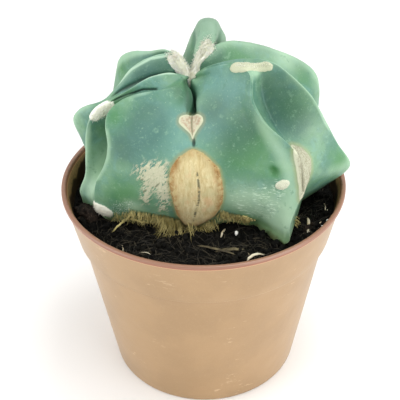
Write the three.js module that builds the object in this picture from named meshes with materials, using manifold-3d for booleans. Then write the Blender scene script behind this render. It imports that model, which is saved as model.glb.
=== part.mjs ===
// A bishop's cap cactus with thick blue-green ribs, standing in the dark peat of a plastic growers' pot.
// Millimetres, +Z up. The origin is the middle of the pot's resting face, and the pot's front faces -Y.

import * as THREE from 'three';
import { mergeVertices } from 'three/addons/utils/BufferGeometryUtils.js';
import Module from 'manifold-3d';

const wasm = await Module();
wasm.setup();

// Pot sizes

const POT_HEIGHT = 65;
const RIM_RADIUS = 42.5;
const BASE_RADIUS = 30;
const WALL = 1.2;
const FLOOR = 1.6;
const COLLAR_HEIGHT = 15.8;
const COLLAR_FOOT_RADIUS = 38.9;
const SHOULDER_RADIUS = 37.6;
const LIP_HEIGHT = 1.3;
const LIP_OVERHANG = 0.7;
const EDGE = 0.4;
const BASE_EDGE = 0.8;
const DRAIN_HOLES = 6;
const DRAIN_RADIUS = 3;
const DRAIN_RING_RADIUS = 19;
const DRAIN_SIDES = 16;
const POT_SIDES = 72;

// Soil sizes

const SOIL_EDGE = 58;
const SOIL_CROWN = 1.2;
const LUMP_WAVES = [
  { across: 0.55, deep: 0.62, shift: 0.4, height: 0.22 },
  { across: 0.95, deep: -0.7, shift: 2, height: 0.2 },
  { across: -0.8, deep: 1.3, shift: 4.1, height: 0.16 },
];
const LOWEST_HOLLOW = 1;
const CLOD_HEIGHT = 1.4;
const CLOD_RADIUS = 6;
const CLODS = [[-34, -11], [10, -31], [29, -22], [-8, 38], [33, 19], [-27, 27]];
const SOIL_SIDES = 60;
const SOIL_RINGS = 9;
const CLEARANCE = 0.3;

// Plant sizes. The guide lines are placed by hand on the crests and in the grooves, in turn round the
// plant, and each one runs from the growing point down to the soil.

const GROWING_POINT = [-3.3, 4.2, 96];
const GUIDE_LINES = [
  { name: 'front valley', width: 0, points: [
    [-3.6, 1.6, 91.6], [-2.3, -1.6, 89.6], [-2, -4.8, 89.8], [-3.1, -8.4, 91.1],
    [-3.2, -11.4, 89.4], [-2.8, -14.4, 86.6], [-2.4, -18.4, 82.8], [-2.4, -20.6, 77],
    [-2.5, -20.4, 69], [-2.6, -17.6, 60]] },
  { name: 'cork right', width: 0, points: [
    [-2.8, 1, 96.7], [-1.3, -2.8, 96], [-1.5, -7.6, 94.3], [0.2, -12.2, 91.2],
    [2.4, -16, 87.2], [4.2, -18.6, 82], [5.6, -20.2, 74.5], [6.4, -18.4, 66], [7, -14.6, 59]] },
  { name: 'right front facet', width: 0, points: [
    [-0.2, 1.2, 98], [3.2, -3.6, 100.6], [6.6, -9, 99.8], [9.4, -14, 96], [11.8, -17.6, 90.5],
    [13.8, -20.2, 83.5], [15, -21.4, 76], [15.6, -20.2, 67.5], [15.8, -17, 59.5]] },
  { name: 'right front ridge', width: 0.3, points: [
    [-0.3, 1.3, 99.4], [7, -5.7, 104.2], [12.2, -10.8, 105.1], [12.6, -15.2, 100.2],
    [14.8, -18.1, 96.2], [18.5, -20.2, 92.5], [23.6, -21.2, 87.6], [26.6, -22.8, 77.6],
    [24.6, -24, 69], [23.5, -24.6, 65], [23.2, -25.3, 59.6]] },
  { name: 'right front wall', width: 0, points: [
    [0.1, 1.8, 99.8], [7.7, -4.8, 104.9], [13.5, -9.4, 105], [13.6, -12, 99.4],
    [15.6, -14.6, 94.8], [19.4, -16.6, 90.2], [24.8, -18, 84.8], [28.2, -18.8, 77],
    [27.2, -17.8, 68.6], [26.4, -17.2, 64.6], [26.2, -15.2, 59.2]] },
  { name: 'right pocket', width: 0.6, points: [
    [0.5, 2.2, 100.2], [8.4, -4, 105.3], [15.2, -8.1, 105.2], [16.4, -8, 98.4],
    [18.6, -8.2, 91.4], [22.8, -11.8, 85.4], [28, -15, 80], [29.8, -14.4, 74],
    [29.4, -10.8, 66.5], [28.8, -5.4, 58.9]] },
  { name: 'right ridge', width: 0.6, points: [
    [1.5, 3.3, 99.6], [9.9, -2.4, 104.9], [18.4, -7.4, 106.4], [24, -8.6, 102.4],
    [29.2, -7.8, 96.2], [33.6, -6.4, 88], [37.8, -5, 79.6], [42.4, -3.8, 71],
    [39.6, -1.6, 65.4], [33.8, 0.6, 58.6]] },
  { name: 'right groove', width: 0.3, points: [
    [1, 5, 97], [7.6, 3.2, 96.6], [14.6, 1.8, 95.6], [21.6, 1.6, 91.8], [27.2, 2.2, 86.2],
    [31, 3.2, 80], [33, 3.8, 73.6], [32.4, 5.6, 66.5], [30.2, 6.6, 58.6]] },
  { name: 'right back ridge', width: 1, areoles: [0.78], points: [
    [0.9, 7.8, 101], [6.6, 11.6, 103], [14.2, 13.4, 101.8], [22, 15.2, 98.4],
    [28.6, 16.3, 94.6], [33.4, 16.8, 90], [35, 17.1, 83.6], [34.6, 17, 75], [33.4, 17, 67],
    [31.4, 16, 58.6]] },
  { name: 'back right groove', width: 0.3, points: [
    [0.9, 8.6, 99], [5.8, 12.8, 99.4], [10.4, 18, 96.4], [16.6, 24.2, 87.6], [20.4, 26, 82],
    [23, 27, 76], [23.2, 26.8, 70], [21.8, 25.6, 64.4], [19.6, 23.4, 58.4]] },
  { name: 'back right ridge', width: 0.9, areoles: [0.35, 0.68], points: [
    [0.6, 8.9, 98.8], [5.5, 13.8, 99], [9.4, 19.4, 97.4], [11.4, 24.6, 94.8], [13.8, 33, 85.6],
    [14.8, 35.8, 79.6], [14.6, 36.2, 73], [13.4, 34, 66], [11.8, 30.6, 58.4]] },
  { name: 'back groove', width: 0.2, points: [
    [0.2, 9.2, 98], [4.9, 14.6, 97.4], [7.4, 19.4, 94.8], [9.6, 27.8, 87], [10, 30.6, 81.8],
    [10, 31.8, 76], [9.6, 31.6, 70], [8.8, 30.2, 64], [7.6, 28, 58.4]] },
  { name: 'back ridge right side', width: 0, points: [
    [-0.1, 9.4, 98.8], [4.4, 14, 100.4], [6.8, 18.4, 101.6], [7.2, 23.6, 99.4],
    [6.2, 29, 94.2], [4.7, 32.8, 87.4], [4.3, 34.8, 80.6], [4.1, 34.6, 72.8], [3.9, 32.4, 65],
    [3.6, 29.6, 58.4]] },
  { name: 'back ridge', width: 2.2, areoles: [0.42, 0.75], points: [
    [-0.7, 9.7, 100.6], [1.6, 13.4, 104.8], [1.8, 18, 107.2], [2, 23.4, 105.2], [1.2, 29, 100],
    [0.4, 33.6, 92.6], [-0.2, 36.4, 83.6], [-0.4, 36.2, 74.2], [-0.4, 33.4, 65.6],
    [-0.4, 30, 58.4]] },
  { name: 'back ridge left side', width: 0, points: [
    [-2.3, 10, 97.4], [-2.5, 13.8, 99.4], [-3.3, 18.2, 101.4], [-3.4, 23.6, 99.4],
    [-3.7, 29, 94.2], [-3.9, 32.8, 87.4], [-4.5, 34.8, 80.6], [-4.7, 34.6, 72.8],
    [-4.5, 32.4, 65], [-4.3, 29.6, 58.4]] },
  { name: 'back left groove', width: 0.3, points: [
    [-3.9, 9, 94.6], [-5.2, 13.4, 92.6], [-7, 18.4, 90.8], [-8.8, 22.4, 87.4],
    [-10.2, 25, 82.4], [-11.2, 26.6, 76.6], [-11.4, 26.4, 70.4], [-10.8, 24.8, 64.4],
    [-9.8, 22.8, 58.4]] },
  { name: 'back left ridge', width: 1.3, areoles: [0.7], points: [
    [-5.6, 7.4, 99.8], [-9.4, 10.4, 101.4], [-14.6, 13.8, 99.6], [-19.8, 17.2, 97.9],
    [-23.4, 20.2, 94.7], [-24.8, 22.2, 90.2], [-26, 23, 82.4], [-27.4, 23.4, 74.4],
    [-27.6, 22, 66], [-25.2, 19.6, 58.6]] },
  { name: 'left back groove', width: 0.3, points: [
    [-5.4, 6.9, 97.6], [-9.8, 9.8, 98], [-15.4, 11.6, 96], [-21, 13, 91.6], [-25.6, 14, 86],
    [-29.2, 14.8, 79.6], [-31, 15, 73], [-30.8, 14.4, 66.4], [-28.8, 13, 58.6]] },
  { name: 'left ridge', width: 0.9, points: [
    [-5.4, 6.2, 99.4], [-9, 8, 101], [-14.4, 8.2, 100.2], [-20.2, 7.6, 97.1], [-25, 6.8, 91.5],
    [-29.6, 6.3, 87.3], [-34.6, 7.4, 85.2], [-38, 8.6, 80.7], [-36.4, 8.6, 73.8],
    [-34.2, 8.4, 66], [-32, 7.6, 58.6]] },
  { name: 'left groove', width: 0.3, points: [
    [-5.2, 4.4, 93.6], [-9.8, 4, 92.6], [-14.6, 3.8, 91.8], [-20.4, 3.4, 89.4],
    [-25.8, 2.6, 86.4], [-29.2, 1.8, 83.4], [-31, 1.6, 79], [-31.8, 1.6, 73.6],
    [-32, 1.4, 66.4], [-31, 1.2, 58.8]] },
  { name: 'left front ridge', width: 0.6, points: [
    [-5, 3, 97.6], [-9.4, 1.8, 98.8], [-15, 0, 98.2], [-20.6, -2.2, 95.8], [-26, -4.2, 93.6],
    [-30.2, -5, 90.6], [-32.4, -5.2, 85], [-33.3, -5.8, 77.6], [-34.2, -6.2, 70.6],
    [-36.2, -6.2, 64.6], [-34.6, -5.6, 58.8]] },
  { name: 'left pocket', width: 0.25, points: [
    [-4.6, 2.2, 97.9], [-9, -1.5, 97.2], [-13.2, -3, 95.9], [-17.2, -2.4, 95], [-21, -3, 94],
    [-24.8, -5, 92], [-25.4, -3.4, 88], [-23.8, -0.8, 82.6], [-25.4, -2.8, 77],
    [-30.2, -6.8, 71], [-33, -9.4, 64.8], [-31.6, -8.6, 59]] },
  { name: 'left front edge', width: 0.4, points: [
    [-4.6, 1.5, 97.7], [-7.2, -3.2, 97.8], [-12, -5.4, 97.4], [-17.2, -5.6, 96.6],
    [-22, -6.9, 95.2], [-25.6, -9, 92.6], [-26.4, -11, 89.8], [-26, -12.4, 84.4],
    [-27.2, -13.2, 78.8], [-30.2, -13.2, 72], [-30.8, -13.4, 65.4], [-28.6, -12.4, 59.2]] },
  { name: 'left front facet', width: 0, points: [
    [-4.7, 0.8, 97.4], [-5.4, -2.8, 97.3], [-6.8, -6.6, 96.2], [-10.8, -10, 94],
    [-15, -13.2, 90.2], [-16.8, -16, 84], [-17.8, -17.8, 77], [-18.8, -17.4, 69],
    [-18.4, -14, 59.4]] },
  { name: 'cork left', width: 0, points: [
    [-4.8, 1, 96.6], [-3.1, -2.4, 95.6], [-3.1, -6.5, 93.8], [-5.2, -11.1, 91.2],
    [-7.4, -15.2, 87.8], [-8.8, -18.2, 82.4], [-10, -20, 74.5], [-10.8, -18.4, 66.4],
    [-10.8, -14.8, 59]] },
];
const ROWS = 24;
const ROW_SPREAD = 1.15;
const MIDDLE = [-1.5, 4, 0];
const ROOT_NECK = [
  { share: 0.84, height: 54, roundness: 0.2 },
  { share: 0.56, height: 48, roundness: 0.6 },
  { share: 0.3, height: 42.5, roundness: 1 },
];
const ROOT_RADIUS = 22;
const ROOT_TIP = [-1.5, 4, 39.5];
const FIT_PASSES = 2;
const FIT_STEP = 0.9;
const LEAST_WIDTH = 0.15;
const FULL_WIDTH_ROW = 3;
const CURVE_STEPS = 240;
const SKIN_ROWS = 33;

// Raised and sunken places on the skin: the middle, the direction of the long half, the two half
// lengths and the height above the skin.

const RELIEF = [
  { name: 'crest wool', at: [13.1, -7.8, 105.6], along: [1, -0.2, 0.1], half: [6.2, 2.1], height: 0.8 },
  { name: 'left wool', at: [-28.1, -4.8, 91.1], along: [0.84, 0.1, 0.54], half: [4.2, 2.2], height: 0.8 },
  { name: 'low areole', at: [-29.6, -13.2, 63.2], along: [0.88, 0, -0.47], half: [3.9, 2.2], height: 0.8 },
  { name: 'small areole', at: [21.6, -22.3, 77.3], along: [0.5, 0, -0.86], half: [2.1, 1.6], height: 0.9 },
  { name: 'dimple', at: [19.2, -21.9, 80.8], along: [0.5, 0, -0.86], half: [2.8, 2], height: -0.9 },
  { name: 'wedge scar', at: [-3.1, -11.6, 89.8], along: [0, -0.62, -0.78], half: [4.2, 3.8], height: 0.4 },
  { name: 'crease', at: [-2.7, -15, 86], along: [0, -0.62, -0.78], half: [2, 0.8], height: -0.6 },
  { name: 'cork patch', at: [-2.2, -19, 72], along: [0, 0, -1], half: [14.6, 8], height: 0.8 },
  { name: 'ridge scar', at: [27, -19.4, 79.4], along: [0.1, -0.3, -1], half: [9, 4.2], height: 0.6 },
];
const RELIEF_EDGE = 0.4;
const AREOLE = { half: [2, 1.6], height: 0.7 };

// Wool in the growing point: a pad with two arms, each with its direction in degrees, its reach beyond
// the pad and its half width in degrees.

const WOOL_MIDDLE = [-3.4, 5.4];
const WOOL_RADIUS = 1.9;
const WOOL_THICKNESS = 1.7;
const WOOL_EDGE = 0.1;
const WOOL_ARMS = [
  { direction: 143, reach: 4, spread: 22 },
  { direction: 43, reach: 7, spread: 14 },
];
const WOOL_SIDES = 48;
const WOOL_RINGS = 5;
const WOOL_SEAT_REACH = 1.8;

// Colours

const material = (color, roughness) => new THREE.MeshStandardMaterial({ color, roughness, metalness: 0 });
const POT_PLASTIC = material(0xc8a27c, 0.5);
const PEAT = material(0x211a15, 1);
const SKIN = material(0x6f9f84, 0.55);
const WOOL = material(0xe0d6bd, 1);

// Vector helpers

const TINY = 1e-9;

const add = (a, b) => a.map((value, k) => value + b[k]);
const subtract = (a, b) => a.map((value, k) => value - b[k]);
const scale = (a, factor) => a.map((value) => value * factor);
const mix = (a, b, share) => a.map((value, k) => value + (b[k] - value) * share);
const dot = (a, b) => a.reduce((sum, value, k) => sum + value * b[k], 0);
const unit = (a) => scale(a, 1 / (Math.hypot(...a) + TINY));

function cross(a, b) {
  return [
    a[1] * b[2] - a[2] * b[1],
    a[2] * b[0] - a[0] * b[2],
    a[0] * b[1] - a[1] * b[0],
  ];
}

// Solids for cutting and joining

const SAME_POINT = 1e-5;

function bareGeometry(geometry) {
  const bare = geometry.clone();
  for (const name of Object.keys(bare.attributes)) {
    if (name !== 'position') {
      bare.deleteAttribute(name);
    }
  }
  return mergeVertices(bare, SAME_POINT);
}

function toSolid(geometry) {
  const bare = bareGeometry(geometry);
  return new wasm.Manifold(new wasm.Mesh({
    numProp: 3,
    vertProperties: new Float32Array(bare.attributes.position.array),
    triVerts: new Uint32Array(bare.index.array),
  }));
}

function toGeometry(solid) {
  const mesh = solid.getMesh();
  const geometry = new THREE.BufferGeometry();
  geometry.setAttribute('position', new THREE.BufferAttribute(new Float32Array(mesh.vertProperties), 3));
  geometry.setIndex(new THREE.BufferAttribute(new Uint32Array(mesh.triVerts), 1));
  geometry.computeVertexNormals();
  return geometry;
}

// A closed surface from rings of points, each ring running anticlockwise seen from above, with the first
// ring lowest. A single point closes each end.

function ringGeometry(bottom, rings, top) {
  const sides = rings[0].length;
  const positions = [bottom, ...rings.flat(), top];
  const last = positions.length - 1;
  const vertex = (ring, side) => 1 + ring * sides + (side % sides);
  const triangles = [];
  for (let side = 0; side < sides; side += 1) {
    triangles.push(0, vertex(0, side + 1), vertex(0, side));
    for (let ring = 0; ring < rings.length - 1; ring += 1) {
      const [a, b] = [vertex(ring, side), vertex(ring, side + 1)];
      const [c, d] = [vertex(ring + 1, side + 1), vertex(ring + 1, side)];
      triangles.push(a, b, c, a, c, d);
    }
    triangles.push(last, vertex(rings.length - 1, side), vertex(rings.length - 1, side + 1));
  }
  const geometry = new THREE.BufferGeometry();
  geometry.setAttribute('position', new THREE.Float32BufferAttribute(positions.flat(), 3));
  geometry.setIndex(triangles);
  geometry.computeVertexNormals();
  return geometry;
}

// Pot

const COLLAR_FOOT = POT_HEIGHT - COLLAR_HEIGHT;
const COLLAR_TOP_RADIUS = RIM_RADIUS - LIP_OVERHANG;

function innerWallRadius(height) {
  if (height < COLLAR_FOOT + WALL) {
    const share = height / COLLAR_FOOT;
    return BASE_RADIUS + (SHOULDER_RADIUS - BASE_RADIUS) * share - WALL;
  }
  const share = (height - COLLAR_FOOT) / COLLAR_HEIGHT;
  return COLLAR_FOOT_RADIUS + (COLLAR_TOP_RADIUS - COLLAR_FOOT_RADIUS) * share - WALL;
}

function potProfile() {
  const outside = [
    [0, 0],
    [BASE_RADIUS - BASE_EDGE, 0],
    [BASE_RADIUS, BASE_EDGE],
    [SHOULDER_RADIUS, COLLAR_FOOT - EDGE],
    [COLLAR_FOOT_RADIUS - EDGE / 2, COLLAR_FOOT],
    [COLLAR_FOOT_RADIUS, COLLAR_FOOT + EDGE],
    [COLLAR_TOP_RADIUS, POT_HEIGHT - LIP_HEIGHT - EDGE],
    [RIM_RADIUS, POT_HEIGHT - LIP_HEIGHT],
    [RIM_RADIUS, POT_HEIGHT - EDGE],
    [RIM_RADIUS - EDGE, POT_HEIGHT],
  ];
  const inside = [
    [COLLAR_TOP_RADIUS - WALL + EDGE, POT_HEIGHT],
    [COLLAR_TOP_RADIUS - WALL, POT_HEIGHT - EDGE],
    [innerWallRadius(COLLAR_FOOT + WALL), COLLAR_FOOT + WALL],
    [innerWallRadius(COLLAR_FOOT), COLLAR_FOOT],
    [innerWallRadius(FLOOR + BASE_EDGE), FLOOR + BASE_EDGE],
    [innerWallRadius(FLOOR) - BASE_EDGE, FLOOR],
    [0, FLOOR],
  ];
  return [...outside, ...inside].map(([radius, height]) => new THREE.Vector2(radius, height));
}

function upright(geometry) {
  return geometry.rotateX(Math.PI / 2);
}

function potGeometry() {
  let shell = toSolid(upright(new THREE.LatheGeometry(potProfile(), POT_SIDES)));
  for (let hole = 0; hole < DRAIN_HOLES; hole += 1) {
    const angle = (hole + 0.5) * 2 * Math.PI / DRAIN_HOLES;
    const drain = upright(new THREE.CylinderGeometry(DRAIN_RADIUS, DRAIN_RADIUS, 4 * FLOOR, DRAIN_SIDES));
    drain.translate(DRAIN_RING_RADIUS * Math.cos(angle), DRAIN_RING_RADIUS * Math.sin(angle), 0);
    shell = shell.subtract(toSolid(drain));
  }
  return toGeometry(shell);
}

// Plant skin: a smooth surface over a net of guide lines

function spreadAlong(points) {
  const curve = new THREE.CatmullRomCurve3(
    [GROWING_POINT, ...points].map((point) => new THREE.Vector3(...point)), false, 'centripetal');
  curve.arcLengthDivisions = CURVE_STEPS;
  const share = (row) => ((row + 1) / ROWS) ** ROW_SPREAD;
  return Array.from({ length: ROWS }, (_, row) => curve.getPointAt(share(row)).toArray());
}

const guides = GUIDE_LINES.map((line) => ({ ...line, rows: spreadAlong(line.points) }));

// A crest or a flat groove takes two lines side by side, and a line halfway to its neighbour follows.
function netColumns() {
  const edges = guides.map((guide, index) => {
    const before = guides[(index + guides.length - 1) % guides.length].rows;
    const after = guides[(index + 1) % guides.length].rows;
    const shifted = (side) => guide.rows.map((point, row) => {
      const across = unit(subtract(after[row], before[row]));
      const growth = Math.min(1, Math.max(LEAST_WIDTH, row / FULL_WIDTH_ROW));
      return add(point, scale(across, side * guide.width * growth));
    });
    return guide.width > 0 ? [shifted(-1), shifted(1)] : [guide.rows];
  });
  return edges.flatMap((pair, index) => {
    const next = edges[(index + 1) % edges.length][0];
    return [...pair, pair.at(-1).map((point, row) => mix(point, next[row], 0.5))];
  });
}

// Below the soil each column runs in to the root neck, and the neck turns round with depth.
function withRoot(column, index, columns) {
  const start = subtract(columns[0].at(-1), MIDDLE);
  const even = Math.atan2(start[1], start[0]) + 2 * Math.PI * index / columns.length;
  const outward = subtract(column.at(-1), MIDDLE).slice(0, 2);
  const reach = Math.hypot(...outward);
  const neck = ROOT_NECK.map(({ share, height, roundness }) => {
    const direction = unit(mix(scale(outward, 1 / reach), [Math.cos(even), Math.sin(even)], roundness));
    const radius = share * (reach + (ROOT_RADIUS - reach) * roundness);
    return [MIDDLE[0] + direction[0] * radius, MIDDLE[1] + direction[1] * radius, height];
  });
  return [GROWING_POINT, ...column, ...neck, ROOT_TIP];
}

const smooth = (before, here, after) => here.map((value, k) => (before[k] + 4 * value + after[k]) / 6);

// The smooth surface falls short of its net, so the net is pushed out until the surface meets the lines.
function fittedNet(target) {
  const count = target.length;
  let net = target;
  for (let pass = 0; pass < FIT_PASSES; pass += 1) {
    const around = net.map((column, index) => column.map((point, row) =>
      smooth(net[(index + count - 1) % count][row], point, net[(index + 1) % count][row])));
    const reached = around.map((column) => column.map((point, row) => {
      const isEnd = row === 0 || row === column.length - 1;
      return isEnd ? point : smooth(column[row - 1], point, column[row + 1]);
    }));
    net = net.map((column, index) => column.map((point, row) =>
      add(point, scale(subtract(target[index][row], reached[index][row]), FIT_STEP))));
  }
  return net;
}

const splineWeights = (t) => [
  (1 - t) ** 3 / 6,
  (3 * t ** 3 - 6 * t ** 2 + 4) / 6,
  (-3 * t ** 3 + 3 * t ** 2 + 3 * t + 1) / 6,
  t ** 3 / 6,
];

function blend(points, weights) {
  return [0, 1, 2].map((k) => weights.reduce((sum, weight, index) => sum + weight * points[index][k], 0));
}

function splineColumn(column, rows) {
  const start = subtract(scale(column[0], 2), column[1]);
  const end = subtract(scale(column.at(-1), 2), column.at(-2));
  const padded = [start, ...column, end];
  const spans = column.length - 1;
  return Array.from({ length: rows }, (_, index) => {
    const place = spans * index / (rows - 1);
    const span = Math.min(Math.floor(place), spans - 1);
    return blend(padded.slice(span, span + 4), splineWeights(place - span));
  });
}

function splineGrid(net, columnCount, rowCount) {
  const count = net.length;
  return Array.from({ length: columnCount }, (_, index) => {
    const place = index * count / columnCount;
    const first = Math.floor(place);
    const weights = splineWeights(place - first);
    const around = [0, 1, 2, 3].map((k) => net[(first + k + count - 1) % count]);
    const column = net[0].map((_, row) => blend(around.map((line) => line[row]), weights));
    return splineColumn(column, rowCount);
  });
}

function surfaceNormal(grid, column, row) {
  const count = grid.length;
  const around = subtract(grid[(column + 1) % count][row], grid[(column + count - 1) % count][row]);
  const along = subtract(grid[column][row + 1], grid[column][row - 1]);
  return unit(cross(along, around));
}

// How far the skin stands out at a point: full height in the middle of each place, fading at its edge.
function reliefHeight(point) {
  let height = 0;
  for (const place of RELIEF_PLACES) {
    const offset = subtract(point, place.at);
    const lengthwise = dot(offset, unit(place.along));
    const crosswise = Math.sqrt(Math.max(0, dot(offset, offset) - lengthwise ** 2));
    const reach = Math.hypot(lengthwise / place.half[0], crosswise / place.half[1]);
    if (reach < 1) {
      height += place.height * Math.min(1, (1 - reach) / RELIEF_EDGE);
    }
  }
  return height;
}

function crestAreoles() {
  return guides.flatMap((guide) => (guide.areoles ?? []).map((share) => {
    const row = Math.round(share * (ROWS - 1));
    const along = unit(subtract(guide.rows[row + 1], guide.rows[row - 1]));
    return { at: guide.rows[row], along, ...AREOLE };
  }));
}

const RELIEF_PLACES = [...RELIEF, ...crestAreoles()];
const skinNet = fittedNet(netColumns().map(withRoot));
const smoothSkin = splineGrid(skinNet, 2 * skinNet.length, SKIN_ROWS);
const skinNormals = smoothSkin.map((column, index) => column.map((_, row) =>
  (row === 0 || row === SKIN_ROWS - 1 ? [0, 0, 0] : surfaceNormal(smoothSkin, index, row))));

// The plant's closed surface, moved outward by an offset all over.
function plantGeometry(offset) {
  const outward = (index, row) => {
    const point = smoothSkin[index][row];
    return add(point, scale(skinNormals[index][row], offset + reliefHeight(point)));
  };
  const rings = [];
  for (let row = SKIN_ROWS - 2; row > 0; row -= 1) {
    rings.push(smoothSkin.map((_, index) => outward(index, row)));
  }
  const tip = subtract(ROOT_TIP, [0, 0, offset]);
  const crown = add(GROWING_POINT, [0, 0, offset]);
  return ringGeometry(tip, rings, crown);
}

// Soil

function soilHeight(x, y) {
  const radius = Math.hypot(x, y);
  const crown = SOIL_CROWN * Math.max(0, 1 - (radius / innerWallRadius(SOIL_EDGE)) ** 2);
  const lumps = LUMP_WAVES.reduce((sum, wave) =>
    sum + wave.height * Math.sin(wave.across * x + wave.deep * y + wave.shift), 0);
  let height = SOIL_EDGE + crown + lumps;
  for (const [clodX, clodY] of CLODS) {
    const distance = Math.hypot(x - clodX, y - clodY) / CLOD_RADIUS;
    height += CLOD_HEIGHT * Math.max(0, 1 - distance ** 2) ** 2;
  }
  return height;
}

function soilGeometry() {
  const circle = (radius, heightAt) => Array.from({ length: SOIL_SIDES }, (_, side) => {
    const angle = side * 2 * Math.PI / SOIL_SIDES;
    const x = radius * Math.cos(angle);
    const y = radius * Math.sin(angle);
    return [x, y, heightAt(x, y)];
  });
  const floor = FLOOR + CLEARANCE;
  // The wall's flats lie inside its circle, and so do the soil's.
  const fit = (height) => (innerWallRadius(height) - CLEARANCE) * Math.cos(Math.PI / POT_SIDES);
  const rings = [
    circle(fit(floor) - 2 * BASE_EDGE, () => floor),
    circle(fit(floor + 2 * BASE_EDGE), () => floor + 2 * BASE_EDGE),
    circle(fit(COLLAR_FOOT), () => COLLAR_FOOT + CLEARANCE),
    circle(fit(COLLAR_FOOT + WALL), () => COLLAR_FOOT + WALL + CLEARANCE),
  ];
  const edge = fit(SOIL_EDGE - LOWEST_HOLLOW);
  for (let ring = SOIL_RINGS; ring > 0; ring -= 1) {
    rings.push(circle(edge * ring / SOIL_RINGS, soilHeight));
  }
  const filling = toSolid(ringGeometry([0, 0, floor], rings, [0, 0, soilHeight(0, 0)]));
  return toGeometry(filling.subtract(toSolid(plantGeometry(CLEARANCE))));
}

// Wool

function highestSkin(x, y) {
  let height = -Infinity;
  for (const column of smoothSkin) {
    for (const point of column) {
      if (Math.hypot(point[0] - x, point[1] - y) < WOOL_SEAT_REACH) {
        height = Math.max(height, point[2]);
      }
    }
  }
  return height;
}

function woolReach(angle) {
  return WOOL_ARMS.reduce((radius, { direction, reach, spread }) => {
    const turn = THREE.MathUtils.radToDeg(angle) - direction;
    const off = THREE.MathUtils.euclideanModulo(turn + 180, 360) - 180;
    return radius + reach * Math.exp(-((off / spread) ** 2));
  }, WOOL_RADIUS);
}

// The pad lies on the highest skin round each point, so it clears the ribs that meet under it.
function woolGeometry() {
  const circle = (share, lift) => Array.from({ length: WOOL_SIDES }, (_, side) => {
    const angle = side * 2 * Math.PI / WOOL_SIDES;
    const radius = share * woolReach(angle);
    const x = WOOL_MIDDLE[0] + radius * Math.cos(angle);
    const y = WOOL_MIDDLE[1] + radius * Math.sin(angle);
    return [x, y, highestSkin(x, y) + CLEARANCE + lift];
  });
  const middle = [...WOOL_MIDDLE, highestSkin(...WOOL_MIDDLE) + CLEARANCE];
  const shares = Array.from({ length: WOOL_RINGS }, (_, ring) => (ring + 1) / WOOL_RINGS);
  const underside = shares.map((share) => circle(share * (1 - WOOL_EDGE), 0));
  const top = shares.toReversed().map((share) =>
    circle(share, WOOL_THICKNESS * Math.sqrt(1 + WOOL_EDGE - share ** 2)));
  return ringGeometry(middle, [...underside, ...top], add(middle, [0, 0, WOOL_THICKNESS]));
}

// The potted plant

function piece(name, geometry, surface) {
  const mesh = new THREE.Mesh(geometry, surface);
  mesh.name = name;
  return mesh;
}

const pottedCactus = new THREE.Group();
pottedCactus.add(piece('pot', potGeometry(), POT_PLASTIC));
pottedCactus.add(piece('soil', soilGeometry(), PEAT));
pottedCactus.add(piece('cactus_body', plantGeometry(0), SKIN));
pottedCactus.add(piece('apex_wool', woolGeometry(), WOOL));

export default pottedCactus;
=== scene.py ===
"""Looks of the potted cactus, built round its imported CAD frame.

Lengths are in millimetres until a mesh is made, and the objects themselves are in metres.
"""

import math
import random

import bmesh
import bpy
import numpy as np
from mathutils import Matrix, Vector, noise
from mathutils.bvhtree import BVHTree


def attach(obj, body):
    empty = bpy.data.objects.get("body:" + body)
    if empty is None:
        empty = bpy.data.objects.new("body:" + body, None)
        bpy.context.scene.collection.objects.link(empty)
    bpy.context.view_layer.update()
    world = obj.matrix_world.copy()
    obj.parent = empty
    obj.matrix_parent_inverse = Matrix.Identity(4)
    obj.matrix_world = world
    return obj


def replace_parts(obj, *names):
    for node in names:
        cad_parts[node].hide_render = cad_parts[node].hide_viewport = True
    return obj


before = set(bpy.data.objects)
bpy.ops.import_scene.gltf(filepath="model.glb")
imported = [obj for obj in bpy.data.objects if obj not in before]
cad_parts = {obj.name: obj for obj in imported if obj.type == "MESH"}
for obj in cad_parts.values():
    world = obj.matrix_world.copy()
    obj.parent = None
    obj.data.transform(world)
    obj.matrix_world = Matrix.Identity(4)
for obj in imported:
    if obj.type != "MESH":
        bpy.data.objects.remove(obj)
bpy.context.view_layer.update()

MM = 0.001
SEED = 7
TAU = 2 * math.pi
DOWN = Vector((0, 0, -1))
draw = random.Random(SEED)
scatter = np.random.default_rng(SEED)

# Camera

TARGET = (-1.09, 0.0, 56.5)
DISTANCE = 275.0
ELEVATION = math.radians(35.6)
ROLL = math.radians(-0.79)
SENSOR = 36.0
FOCAL = 2.25 * SENSOR
FORWARD = Vector((0, math.cos(ELEVATION), -math.sin(ELEVATION)))
UPWARD = Vector((0, math.sin(ELEVATION), math.cos(ELEVATION)))


def add_camera():
    right = Vector((1, 0, 0))
    rolled_right = right * math.cos(ROLL) + UPWARD * math.sin(ROLL)
    rolled_up = UPWARD * math.cos(ROLL) - right * math.sin(ROLL)
    data = bpy.data.cameras.new("camera")
    data.sensor_width = SENSOR
    data.lens = FOCAL
    camera = bpy.data.objects.new("camera", data)
    bpy.context.scene.collection.objects.link(camera)
    matrix = Matrix((rolled_right, rolled_up, -FORWARD)).transposed().to_4x4()
    matrix.translation = (Vector(TARGET) - FORWARD * DISTANCE) * MM
    camera.matrix_world = matrix
    bpy.context.scene.camera = camera


# Node helpers


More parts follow.
